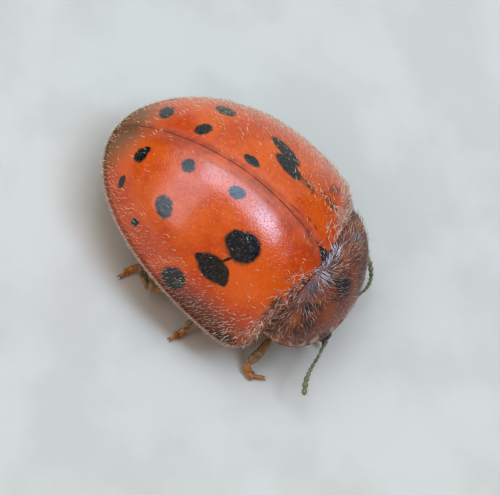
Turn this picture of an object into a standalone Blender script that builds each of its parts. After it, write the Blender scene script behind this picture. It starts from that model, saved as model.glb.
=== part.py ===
"""A 24-spot ladybird at life size, standing still on six legs.

The beetle is built in millimetres in its own frame: the base of the wing cases is at y = 0,
the tail at +Y, the head at -Y, its left side at +X, and the floor at z = 0. The last step
moves everything so that the origin is at the middle of the bottom of the whole beetle.
"""

import math

import bmesh
import bpy
from mathutils import Matrix, Vector

MM = 0.001
GAP = 0.02                  # clear space left between two solids that meet

# Wing cases, the dome that covers the body
ELYTRA_LENGTH = 3.0
ELYTRA_HALF_WIDTH = 1.46
DOME_HEIGHT = 1.29          # from the level of the rim
RIM_LEVEL = 0.56            # from the floor
RIM_ARCH = 0.12             # how far the rim rises at mid length
RIM_DIP = 0.107             # how far the rim drops at the shoulders
WIDEST_AT = 0.78
HIGHEST_AT = 1.37
SHOULDER_REACH = 0.134      # how far ahead of the base the outline would close
BROW_REACH = 0.446          # how far ahead of the base the profile would close
OUTLINE_REAR, OUTLINE_FRONT = 2.04, 3.58
PROFILE_REAR, PROFILE_FRONT = 1.70, 1.98
ARCH_POWER = 2.02
WING_THICKNESS = 0.5
SCUTELLUM_LENGTH, SCUTELLUM_HALF_WIDTH, SCUTELLUM_DEPTH = 0.2, 0.12, 0.3
BASE_BOW, BOW_FADE = 0.06, 0.45   # the base line bows forward at the crest, and fades behind

# Pronotum, the shield behind the head
SHIELD_LENGTH = 0.80
SHIELD_HALF_WIDTH = 1.10
SHIELD_THICKNESS = 0.16
SHIELD_EDGE_BACK, SHIELD_EDGE_FRONT = 0.25, 0.06    # its edge above the rim level
SHIELD_TOP_BACK = 0.82                              # its crest above the rim level
SHIELD_POWER = 2.1

# Trunk under the shells
BELLY_LEVEL = 0.30
BELLY_RISE = 0.12           # of the belly towards the tail
PLATE_STEP = 0.025          # between one belly plate and the next
TRUNK_CLEARANCE = 0.03
TRUNK_SIDE_RISE = 0.05      # of the trunk's widest line above the wing cases' edge
THORAX_PLATES, ABDOMEN_PLATES = 2, 5
PROTHORAX_FRONT, PROTHORAX_BACK = -0.42, -0.10
THORAX_END, ABDOMEN_END = 1.02, 2.42

# Head
HEAD_CENTRE = (0.0, -0.62, 0.40)
HEAD_RADII = (0.45, 0.18, 0.22)
EYE_CENTRE = (0.40, -0.70, 0.48)
EYE_RADIUS = 0.13
MOUTH_CUT_POINT, MOUTH_CUT_NORMAL = (0.0, -0.70, 0.25), (0.0, -0.35, -1.0)

# Legs: centre lines for the right side, at the thickness that every limb keeps
FEMUR_RADIUS, TIBIA_RADIUS, TARSUS_RADIUS = 0.25, 0.235, 0.225
LEGS = {
    "front": ((0.30, -0.30, 0.34), (0.78, -0.25, 0.30), (1.07, -0.16, 0.25), (1.11, -0.30, 0.21)),
    "middle": ((0.36, 0.40, 0.34), (0.90, 0.46, 0.28), (1.17, 0.62, 0.24), (1.40, 0.72, 0.21)),
    "hind": ((0.40, 1.00, 0.34), (1.02, 1.20, 0.28), (1.04, 1.50, 0.24), (1.15, 1.64, 0.21)),
}

# Antennae: centre lines with a radius at each point
ANTENNA_RIGHT = ((-0.60, -0.82, 0.36, 0.14), (-0.76, -0.84, 0.36, 0.20), (-1.04, -0.93, 0.38, 0.215))
ANTENNA_LEFT = ((0.60, -0.82, 0.34, 0.14), (0.74, -0.80, 0.32, 0.20), (0.90, -0.72, 0.30, 0.205))

# Mesh fineness
DOME_ROWS, DOME_COLUMNS, SHIELD_ROWS = 17, 14, 11
TRUNK_SIDES = 28
LIMB_SIDES, LIMB_RINGS = 14, 7
SLIVER = 0.01               # edges shorter than this are closed up after a cut


# --- shape rules ---------------------------------------------------------------------------

def closing_curve(y, peak_at, front_reach, rear_power, front_power, length=ELYTRA_LENGTH):
    """Height 0 to 1 of a curve that peaks at peak_at and closes at -front_reach and length."""
    if y > peak_at:
        t, power = (y - peak_at) / (length - peak_at), rear_power
    else:
        t, power = (peak_at - y) / (peak_at + front_reach), front_power
    return (1.0 - min(max(t, 0.0), 1.0) ** power) ** (1.0 / power)


def dome_half_width(y, shrink=0.0):
    """Half width of the wing cases at y, or of a dome that lies inside them by shrink."""
    curve = closing_curve(y, WIDEST_AT, SHOULDER_REACH, OUTLINE_REAR, OUTLINE_FRONT,
                          ELYTRA_LENGTH - shrink)
    return (ELYTRA_HALF_WIDTH - shrink) * curve


def dome_top(y, shrink=0.0):
    """Height above the floor of the dome's crest at y."""
    curve = closing_curve(y, HIGHEST_AT, BROW_REACH, PROFILE_REAR, PROFILE_FRONT,
                          ELYTRA_LENGTH - shrink)
    return RIM_LEVEL + (DOME_HEIGHT - shrink) * curve


def rim_level(y):
    """Height above the floor of the wing cases' lower edge at y."""
    along = min(max(y / ELYTRA_LENGTH, 0.0), 1.0)
    return RIM_LEVEL - RIM_DIP * (1.0 - along) ** 2 + 4.0 * RIM_ARCH * along * (1.0 - along)


def shield_half_width(y, shrink=0.0):
    """Half width of the pronotum at y, which runs from 0 back to -SHIELD_LENGTH in front."""
    t = min(-y / (SHIELD_LENGTH - shrink), 1.0)
    return (SHIELD_HALF_WIDTH - shrink) * (1.0 - t ** SHIELD_POWER) ** (1.0 / SHIELD_POWER)


def shield_edge(y):
    """Height above the floor of the pronotum's edge at y."""
    t = min(-y / SHIELD_LENGTH, 1.0)
    return RIM_LEVEL + SHIELD_EDGE_BACK * (1.0 - t) + SHIELD_EDGE_FRONT * t


def shield_top(y, shrink=0.0):
    """Height above the floor of the pronotum's crest at y."""
    t = min(-y / (SHIELD_LENGTH - shrink), 1.0)
    low = RIM_LEVEL + SHIELD_EDGE_FRONT
    high = RIM_LEVEL + SHIELD_TOP_BACK - shrink
    return low + (high - low) * math.sqrt(1.0 - t * t)


def bowed(y, angle):
    """A station near the base moved forward, most at the crest and none at the rim."""
    return y - BASE_BOW * math.sin(angle) * max(0.0, 1.0 - abs(y) / BOW_FADE)


def arch_point(half_width, low, high, angle, power=ARCH_POWER):
    """A point (x, z) on an arch: angle 0 is its +X foot, 90 degrees its crest."""
    c, s = math.cos(angle), math.sin(angle)
    x = half_width * math.copysign(abs(c) ** (2.0 / power), c)
    return x, low + (high - low) * abs(s) ** (2.0 / power)


# --- mesh helpers --------------------------------------------------------------------------

def material(name, colour, roughness, metallic=0.0):
    """A Principled material of one colour."""
    mat = bpy.data.materials.new(name)
    mat.use_nodes = True
    shader = mat.node_tree.nodes["Principled BSDF"]
    shader.inputs["Base Color"].default_value = (*colour, 1.0)
    shader.inputs["Roughness"].default_value = roughness
    shader.inputs["Metallic"].default_value = metallic
    return mat


def add_part(name, bm, mat, smooth=True):
    """Turn a bmesh in millimetres into a named object in metres."""
    bmesh.ops.recalc_face_normals(bm, faces=bm.faces)
    bmesh.ops.scale(bm, vec=(MM, MM, MM), verts=bm.verts)
    mesh = bpy.data.meshes.new(name)
    bm.to_mesh(mesh)
    bm.free()
    if smooth:
        mesh.shade_smooth()
        mesh.set_sharp_from_angle(angle=math.radians(35.0))
    mesh.materials.append(mat)
    obj = bpy.data.objects.new(name, mesh)
    bpy.context.collection.objects.link(obj)
    return obj


def shell(outer, inner, outer_pole, inner_pole):
    """A closed shell between two grids of points whose last rows close on a pole each."""
    bm = bmesh.new()
    out = [[bm.verts.new(p) for p in row] for row in outer]
    inn = [[bm.verts.new(p) for p in row] for row in inner]
    out_tip, in_tip = bm.verts.new(outer_pole), bm.verts.new(inner_pole)
    for grid, tip in ((out, out_tip), (inn, in_tip)):
        for a, b in zip(grid, grid[1:]):
            for j in range(len(a) - 1):
                bm.faces.new((a[j], a[j + 1], b[j + 1], b[j]))
        for j in range(len(grid[-1]) - 1):
            bm.faces.new((grid[-1][j], grid[-1][j + 1], tip))
    for j in range(len(out[0]) - 1):
        bm.faces.new((out[0][j + 1], out[0][j], inn[0][j], inn[0][j + 1]))
    for column in (0, -1):
        for i in range(len(out) - 1):
            bm.faces.new((out[i][column], out[i + 1][column], inn[i + 1][column], inn[i][column]))
        bm.faces.new((out[-1][column], out_tip, in_tip, inn[-1][column]))
    return bm


def loft(rings):
    """A closed body through a list of rings, flat at both ends."""
    bm = bmesh.new()
    loops = [[bm.verts.new(p) for p in ring] for ring in rings]
    for a, b in zip(loops, loops[1:]):
        for j in range(len(a)):
            k = (j + 1) % len(a)
            bm.faces.new((a[j], a[k], b[k], b[j]))
    bm.faces.new(loops[0])
    bm.faces.new(loops[-1])
    return bm


def ball(centre, radii, segments=20):
    """An ellipsoid of the given half sizes."""
    bm = bmesh.new()
    bmesh.ops.create_uvsphere(bm, u_segments=segments, v_segments=segments // 2 + 1, radius=1.0)
    bmesh.ops.transform(bm, matrix=Matrix.Translation(centre) @ Matrix.Diagonal((*radii, 1.0)),
                        verts=bm.verts)
    return bm


def ball_points(centre, radius):
    """Points spread over a ball: rings of LIMB_SIDES, and the two poles."""
    points = [centre + Vector((0.0, 0.0, radius)), centre - Vector((0.0, 0.0, radius))]
    for i in range(1, LIMB_RINGS):
        tilt = math.pi * i / LIMB_RINGS
        for j in range(LIMB_SIDES):
            turn = 2.0 * math.pi * j / LIMB_SIDES
            across = radius * math.sin(tilt)
            points.append(centre + Vector((across * math.cos(turn), across * math.sin(turn),
                                           radius * math.cos(tilt))))
    return points


def limb(balls, grow=0.0):
    """The convex hull of balls strung along a line: a rounded, tapered rod."""
    bm = bmesh.new()
    for x, y, z, radius in balls:
        for point in ball_points(Vector((x, y, z)), radius + grow):
            bm.verts.new(point)
    bmesh.ops.convex_hull(bm, input=bm.verts)
    inside = [v for v in bm.verts if not v.link_faces]
    bmesh.ops.delete(bm, geom=inside, context="VERTS")
    return bm


def slice_off(bm, point, normal):
    """Remove what lies on the normal's side of a plane, and close the cut."""
    geom = bm.verts[:] + bm.edges[:] + bm.faces[:]
    cut = bmesh.ops.bisect_plane(bm, geom=geom, plane_co=point, plane_no=normal, clear_outer=True)
    rim = [e for e in cut["geom_cut"] if isinstance(e, bmesh.types.BMEdge)]
    bmesh.ops.holes_fill(bm, edges=rim)
    bmesh.ops.remove_doubles(bm, verts=bm.verts, dist=SLIVER)
    return bm


def cut_with(obj, cutter_bm, name):
    """Cut a hidden tool's shape out of an object with a Boolean modifier."""
    tool = add_part(name, cutter_bm, obj.data.materials[0])
    tool.hide_render = True
    tool.display_type = "WIRE"
    boolean = obj.modifiers.new(name, "BOOLEAN")
    boolean.operation = "DIFFERENCE"
    boolean.solver = "EXACT"
    boolean.object = tool


# --- shells --------------------------------------------------------------------------------

def stations(start, end, count):
    """Stations from start towards end, closer together near both, without end itself."""
    return [start + (end - start) * (1.0 - math.cos(math.pi * i / count)) / 2.0
            for i in range(count)]


def suture_offset(y):
    """How far the inner edge of a wing case stands from the middle line."""
    notch = SCUTELLUM_HALF_WIDTH * max(0.0, 1.0 - y / SCUTELLUM_LENGTH)
    return GAP / 2.0 + notch


def half_arch(half_width, low, high, middle, columns, y, side):
    """Points from the rim up to the middle line, on one side of an arch."""
    last = math.acos(min(middle / half_width, 1.0) ** (ARCH_POWER / 2.0))
    points = []
    for j in range(columns + 1):
        angle = last * j / columns
        x, z = arch_point(half_width, low, high, angle)
        points.append((side * x, bowed(y, angle), z))
    return points


def make_elytron(name, side, mat):
    """One wing case: half a dome with a thick wall, notched in front for the scutellum."""
    outer, inner = [], []
    for y in stations(0.0, ELYTRA_LENGTH, DOME_ROWS):
        outer.append(half_arch(dome_half_width(y), rim_level(y), dome_top(y), suture_offset(y),
                               DOME_COLUMNS, y, side))
    for y in stations(0.0, ELYTRA_LENGTH - WING_THICKNESS, DOME_ROWS):
        inner.append(half_arch(dome_half_width(y, WING_THICKNESS), rim_level(y),
                               dome_top(y, WING_THICKNESS), suture_offset(y),
                               DOME_COLUMNS, y, side))
    inner_end = ELYTRA_LENGTH - WING_THICKNESS
    bm = shell(outer, inner, (side * GAP / 2.0, ELYTRA_LENGTH, RIM_LEVEL),
               (side * GAP / 2.0, inner_end, rim_level(inner_end)))
    return add_part(name, bm, mat)


def make_pronotum(mat):
    """The shield: a thin arched plate that closes in front."""
    grids = []
    for shrink in (0.0, SHIELD_THICKNESS):
        grid = []
        for y in stations(-GAP, shrink - SHIELD_LENGTH, SHIELD_ROWS):
            row = []
            for j in range(2 * DOME_COLUMNS + 1):
                angle = math.pi * j / (2 * DOME_COLUMNS)
                x, z = arch_point(shield_half_width(y, shrink), shield_edge(y),
                                  max(shield_top(y, shrink), shield_edge(y)), angle)
                row.append((x, bowed(y, angle), z))
            grid.append(row)
        grids.append(grid)
    front = -SHIELD_LENGTH
    inner_front = front + SHIELD_THICKNESS
    bm = shell(grids[0], grids[1], (0.0, front, shield_edge(front)),
               (0.0, inner_front, shield_edge(inner_front)))
    return add_part("pronotum", bm, mat)


def make_scutellum(mat):
    """The small triangle between the bases of the wing cases, as deep as it needs to hold."""
    bm = bmesh.new()
    half = SCUTELLUM_HALF_WIDTH - GAP / 2.0
    corners = ((-half, 0.0), (half, 0.0), (0.0, SCUTELLUM_LENGTH * 0.9))
    top, bottom = [], []
    for x, y in corners:
        level = dome_top(y) - 0.01
        y = bowed(y, math.pi / 2.0)
        top.append(bm.verts.new((x, y, level)))
        bottom.append(bm.verts.new((x, y, level - SCUTELLUM_DEPTH)))
    bm.faces.new(top)
    bm.faces.new(bottom)
    for i in range(3):
        k = (i + 1) % 3
        bm.faces.new((top[i], top[k], bottom[k], bottom[i]))
    return add_part("scutellum", bm, mat, smooth=False)


# --- trunk ---------------------------------------------------------------------------------

def trunk_ring(y, half_width, side_level, top, bottom):
    """One cross-section: an arch above the side level and a shallow one below it."""
    ring = []
    for j in range(TRUNK_SIDES):
        angle = 2.0 * math.pi * j / TRUNK_SIDES
        end = top if math.sin(angle) >= 0.0 else bottom
        x, z = arch_point(half_width, side_level, end, angle)
        ring.append((x, y, z))
    return ring


def trunk_under_wings(start, end, plates):
    """Rings of the trunk between two stations, clear of the inside of the wing cases.

    The belly has that many plates, and each steps in a little where the next one begins.
    """
    shrink = WING_THICKNESS + TRUNK_CLEARANCE
    rings = []
    for i in range(plates):
        for share, step in ((0.0, PLATE_STEP), (0.45, 0.0), (0.97, 0.0)):
            y = start + (end - start) * math.sin(0.5 * math.pi * (i + share) / plates)
            half_width = dome_half_width(y, shrink)
            side = rim_level(y) + TRUNK_SIDE_RISE
            top = max(dome_top(y, shrink), side + TRUNK_SIDE_RISE)
            belly = BELLY_LEVEL + BELLY_RISE * (y / ABDOMEN_END) ** 4 + step
            rings.append(trunk_ring(y, half_width, side, top, belly))
    return rings


def make_prothorax(mat):
    """The ring of body that carries the shield and the front legs."""
    rings = []
    clear = SHIELD_THICKNESS + TRUNK_CLEARANCE
    for i in range(6):
        y = PROTHORAX_BACK + (PROTHORAX_FRONT - PROTHORAX_BACK) * i / 5.0
        side = shield_edge(y) + 0.02
        rings.append(trunk_ring(y, shield_half_width(y, clear) * 0.97, side,
                                shield_top(y, clear) - 0.01, BELLY_LEVEL - 0.04 * y / PROTHORAX_FRONT))
    return add_part("prothorax", loft(rings), mat)


def carve_leg_beds(obj, legs):
    """Cut a bed for each leg's inner end, like the hollows that the legs fold into."""
    for name in legs:
        for side, word in ((-1.0, "right"), (1.0, "left")):
            coxa, knee = LEGS[name][0], LEGS[name][1]
            points = [(side * coxa[0], coxa[1], coxa[2], FEMUR_RADIUS),
                      (side * knee[0], knee[1], knee[2], FEMUR_RADIUS)]
            cut_with(obj, limb(points, GAP), f"bed_{obj.name}_{name}_{word}")


# --- head ----------------------------------------------------------------------------------

def make_head(head_mat, eye_mat, mouth_mat):
    """The head, hung low under the shield, with its two eyes and its mouthparts."""
    normal = Vector(MOUTH_CUT_NORMAL).normalized()
    point = Vector(MOUTH_CUT_POINT)
    head = add_part("head", slice_off(ball(HEAD_CENTRE, HEAD_RADII), point, normal), head_mat)
    for side, word in ((-1.0, "right"), (1.0, "left")):
        x, y, z = EYE_CENTRE
        centre = (side * x, y, z)
        radius = EYE_RADIUS + GAP / 2.0
        cut_with(head, ball(centre, (radius, radius, radius), 14), f"socket_{word}")
        add_part(f"eye_{word}", ball(centre, (EYE_RADIUS, EYE_RADIUS, EYE_RADIUS), 14), eye_mat)
    mouth = limb([(-0.16, -0.66, 0.20, 0.09), (0.16, -0.66, 0.20, 0.09), (0.0, -0.70, 0.16, 0.10)])
    add_part("mouthparts", slice_off(mouth, point + normal * GAP, -normal), mouth_mat)


def make_antenna(name, points, mat):
    """One feeler: two tapered lengths joined as one body."""
    start, middle, tip = points
    first = add_part(name, limb([start, middle]), mat)
    tool = add_part(name + "_club", limb([middle, tip]), mat)
    tool.hide_render = True
    tool.display_type = "WIRE"
    union = first.modifiers.new("club", "BOOLEAN")
    union.operation = "UNION"
    union.solver = "EXACT"
    union.object = tool


# --- legs ----------------------------------------------------------------------------------

def make_leg(name, side, word, mats):
    """Thigh, shin and foot of one leg, parted by thin cuts, with the foot flat on the floor."""
    coxa, knee, ankle, toe = [Vector((side * p[0], p[1], p[2])) for p in LEGS[name]]
    floor = ((0.0, 0.0, 0.0), (0.0, 0.0, -1.0))
    spans = (("femur", coxa, knee, FEMUR_RADIUS, TIBIA_RADIUS),
             ("tibia", knee, ankle, TIBIA_RADIUS, TARSUS_RADIUS),
             ("tarsus", ankle, toe, TARSUS_RADIUS, TARSUS_RADIUS))
    knee_cut = ((knee - coxa).normalized() + (ankle - knee).normalized()).normalized()
    ankle_cut = ((ankle - knee).normalized() + (toe - ankle).normalized()).normalized()
    for part, start, end, r_start, r_end in spans:
        bm = limb([(*start, r_start), (*end, r_end)])
        if part == "femur":
            slice_off(bm, knee - knee_cut * GAP / 2.0, knee_cut)
        if part == "tibia":
            slice_off(bm, knee + knee_cut * GAP / 2.0, -knee_cut)
            slice_off(bm, ankle - ankle_cut * GAP / 2.0, ankle_cut)
        if part == "tarsus":
            slice_off(bm, ankle + ankle_cut * GAP / 2.0, -ankle_cut)
        slice_off(bm, *floor)
        add_part(f"{part}_{name}_{word}", bm, mats[part])


# --- assembly ------------------------------------------------------------------------------

def stand_on_origin():
    """Move every mesh so that the beetle's bottom centre is at the origin."""
    graph = bpy.context.evaluated_depsgraph_get()
    corners = []
    for obj in bpy.data.objects:
        if not obj.hide_render:
            shown = obj.evaluated_get(graph)
            corners += [v.co.copy() for v in shown.data.vertices]
    low = [min(c[i] for c in corners) for i in range(3)]
    high = [max(c[i] for c in corners) for i in range(3)]
    shift = Vector((-(low[0] + high[0]) / 2.0, -(low[1] + high[1]) / 2.0, -low[2]))
    for obj in bpy.data.objects:
        obj.data.transform(Matrix.Translation(shift))


def main():
    for obj in list(bpy.data.objects):
        bpy.data.objects.remove(obj)
    shell_red = material("elytra_orange_red", (0.62, 0.10, 0.02), 0.3)
    shield_rust = material("pronotum_rust", (0.30, 0.07, 0.03), 0.5)
    dark = material("scutellum_dark", (0.03, 0.03, 0.025), 0.5)
    belly = material("underside_brown", (0.16, 0.05, 0.02), 0.5)
    head_mat = material("head_rust", (0.22, 0.06, 0.02), 0.45)
    eye_mat = material("eye_black", (0.01, 0.01, 0.01), 0.15)
    honey = material("mouthparts_honey", (0.40, 0.18, 0.05), 0.45)
    feeler = material("antenna_straw", (0.45, 0.33, 0.15), 0.5)
    leg_mats = {
        "femur": material("femur_honey", (0.38, 0.16, 0.05), 0.45),
        "tibia": material("tibia_honey", (0.42, 0.18, 0.05), 0.45),
        "tarsus": material("tarsus_orange", (0.55, 0.20, 0.04), 0.45),
    }

    make_elytron("elytron_left", 1.0, shell_red)
    make_elytron("elytron_right", -1.0, shell_red)
    make_pronotum(shield_rust)
    make_scutellum(dark)
    carve_leg_beds(make_prothorax(belly), ("front",))
    thorax = add_part("thorax", loft(trunk_under_wings(GAP, THORAX_END, THORAX_PLATES)), belly)
    carve_leg_beds(thorax, ("middle", "hind"))
    abdomen_rings = trunk_under_wings(THORAX_END + GAP, ABDOMEN_END, ABDOMEN_PLATES)
    abdomen = add_part("abdomen", loft(abdomen_rings), belly)
    carve_leg_beds(abdomen, ("hind",))
    make_head(head_mat, eye_mat, honey)
    make_antenna("antenna_right", ANTENNA_RIGHT, feeler)
    make_antenna("antenna_left", ANTENNA_LEFT, feeler)
    for name in LEGS:
        make_leg(name, -1.0, "right", leg_mats)
        make_leg(name, 1.0, "left", leg_mats)
    stand_on_origin()


main()
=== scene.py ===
"""A twenty-four-spot ladybird at life size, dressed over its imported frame.

Shapes are worked out in millimetres in the beetle's own frame: the base of the wing cases is
at y = 0, the tail at +Y, the head at -Y, the beetle's left side at +X and the floor at z = 0.
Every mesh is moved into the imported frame, in metres, as it is made.
"""

import logging
import math
from collections.abc import Callable
from dataclasses import dataclass, field, replace
from enum import Enum

import bmesh
import bpy
import numpy as np
from mathutils import Matrix, Vector


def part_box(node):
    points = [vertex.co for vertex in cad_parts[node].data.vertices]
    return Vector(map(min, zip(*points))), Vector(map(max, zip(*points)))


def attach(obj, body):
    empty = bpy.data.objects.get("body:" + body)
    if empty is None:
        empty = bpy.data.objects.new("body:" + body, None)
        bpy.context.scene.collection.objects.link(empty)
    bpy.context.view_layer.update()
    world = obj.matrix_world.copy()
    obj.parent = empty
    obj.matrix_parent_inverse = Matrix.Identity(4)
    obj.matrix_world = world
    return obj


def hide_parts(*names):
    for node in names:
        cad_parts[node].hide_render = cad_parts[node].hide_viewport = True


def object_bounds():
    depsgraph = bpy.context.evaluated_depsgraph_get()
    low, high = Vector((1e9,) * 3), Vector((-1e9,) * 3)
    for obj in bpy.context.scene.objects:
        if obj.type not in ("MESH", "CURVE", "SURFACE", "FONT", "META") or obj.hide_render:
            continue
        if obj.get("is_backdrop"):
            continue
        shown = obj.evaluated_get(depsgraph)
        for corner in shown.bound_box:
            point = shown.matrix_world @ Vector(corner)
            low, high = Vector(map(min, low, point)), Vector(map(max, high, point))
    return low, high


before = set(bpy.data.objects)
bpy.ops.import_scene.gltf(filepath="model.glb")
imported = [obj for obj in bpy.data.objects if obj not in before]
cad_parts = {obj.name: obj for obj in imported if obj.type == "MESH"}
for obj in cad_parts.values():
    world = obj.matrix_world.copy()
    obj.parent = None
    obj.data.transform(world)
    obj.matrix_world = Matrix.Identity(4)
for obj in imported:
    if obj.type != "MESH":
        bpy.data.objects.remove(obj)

MM = 0.001
MERGE_MM = 0.0001                 # points closer than this are one point
UP = np.array((0.0, 0.0, 1.0))
UNDER_WINGS = (0.0, 1.2, 0.3)     # a point inside the wing cases' dome
UNDER_SHIELD = (0.0, -0.2, 0.4)   # a point inside the shield
BEHIND_SPOTS = (0.0, 1.2, 0.5)    # a point that every marked surface faces away from
SKIN_MARKS = ("lie", "cover", "growth")
SCRATCH_MARKS = (*SKIN_MARKS, "unwrap", "root", "strand", "aim", "half")
log = logging.getLogger("ladybird")

Pair = tuple[float, float]
Triple = tuple[float, float, float]
Colour = tuple[float, float, float, float]
Socket = bpy.types.NodeSocket
Material = bpy.types.Material
Mesh = bpy.types.Mesh
Piece = bpy.types.Object


class Side(Enum):
    """The beetle's right and left, as the sign of x."""

    RIGHT = -1.0
    LEFT = 1.0

    @property
    def word(self) -> str:
        """The side as a word in a name."""
        return self.name.lower()


class Ends(Enum):
    """How the first and last rows of a tube are closed."""

    OPEN = 0
    FAN = 1
    STRIP = 2


class Slot(Enum):
    """The record's material slots."""

    ELYTRA = "elytra"
    PRONOTUM = "pronotum"
    SCUTELLUM = "scutellum"
    UNDERSIDE = "underside"
    HEAD = "head"
    EYE = "eye"
    MOUTHPARTS = "mouthparts"
    ANTENNA = "antenna"
    LEG = "leg"
    TARSUS = "tarsus"


# --- small tools ----------------------------------------------------------------------------

def linear(hex_colour: str) -> Colour:
    """An sRGB colour as a linear one.

    Args:
        hex_colour: the colour as a hash sign and six hex digits.

    Returns:
        Linear red, green and blue, with an alpha of 1.
    """
    shares = [int(hex_colour[start:start + 2], 16) / 255.0 for start in (1, 3, 5)]
    red, green, blue = (share / 12.92 if share <= 0.04045 else ((share + 0.055) / 1.055) ** 2.4
                        for share in shares)
    return red, green, blue, 1.0


def per_mm(size_mm: float) -> float:
    """The texture scale whose features are about that many millimetres across."""
    return 1.0 / (size_mm * MM)


def add(tree: bpy.types.NodeTree, kind: str, inputs: dict | None = None, out: int | str = 0,
        **settings: object) -> Socket | None:
    """Add a node with its settings, values and links.

    Args:
        tree: the tree that gets the node.
        kind: the node's type.
        inputs: a value, or another node's output, for each input by name or number.
        out: which output to hand back.
        **settings: attributes to set on the node.

    Returns:
        That output of the new node, or None where it has none.
    """
    node = tree.nodes.new(kind)
    for name, value in settings.items():
        setattr(node, name, value)
    for key, value in (inputs or {}).items():
        if isinstance(value, Socket):
            tree.links.new(value, node.inputs[key])
        else:
            node.inputs[key].default_value = value
    return node.outputs[out] if node.outputs else None


def smooth_step(x: np.ndarray, low: float, high: float) -> np.ndarray:
    """0 below low, 1 above high, and smooth between them."""
    t = np.clip((x - low) / (high - low), 0.0, 1.0)
    return t * t * (3.0 - 2.0 * t)


def bell(x: np.ndarray, middle: float, reach: float) -> np.ndarray:
    """1 at the middle, falling smoothly away with distance from it."""
    return np.exp(-((x - middle) / reach) ** 2)


def unit(vectors: np.ndarray) -> np.ndarray:
    """The vectors at length 1."""
    return vectors / np.maximum(np.linalg.norm(vectors, axis=-1, keepdims=True), 1e-12)


def cosine_steps(count: int) -> np.ndarray:
    """Numbers from 0 to 1, closer together near both ends."""
    return (1.0 - np.cos(np.pi * np.linspace(0.0, 1.0, count))) / 2.0


def stacked(*parts: object) -> np.ndarray:
    """Numbers and grids put side by side as the parts of one grid of vectors."""
    return np.stack(np.broadcast_arrays(*parts), axis=-1)


@dataclass(frozen=True)
class Anchor:
    """Where the beetle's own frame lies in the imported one, in millimetres."""

    middle: float
    base: float

    @classmethod
    def from_frame(cls, elytra_length: float) -> "Anchor":
        """Find the middle line and the base of the wing cases from their packed boxes.

        Args:
            elytra_length: the wing cases' length, in millimetres.

        Returns:
            The anchor.
        """
        right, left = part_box("elytron_right"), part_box("elytron_left")
        middle = (right[1].x + left[0].x) / 2.0 / MM
        return cls(middle, right[1].y / MM - elytra_length)

    def place(self, points: np.ndarray) -> np.ndarray:
        """Points of the beetle's own frame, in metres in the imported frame."""
        return (np.asarray(points, float) + (self.middle, self.base, 0.0)) * MM

    def spot(self, point: Triple) -> Vector:
        """One point of the beetle's own frame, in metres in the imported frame."""
        return Vector(self.place(np.array(point)))


# --- shapes ---------------------------------------------------------------------------------

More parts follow.
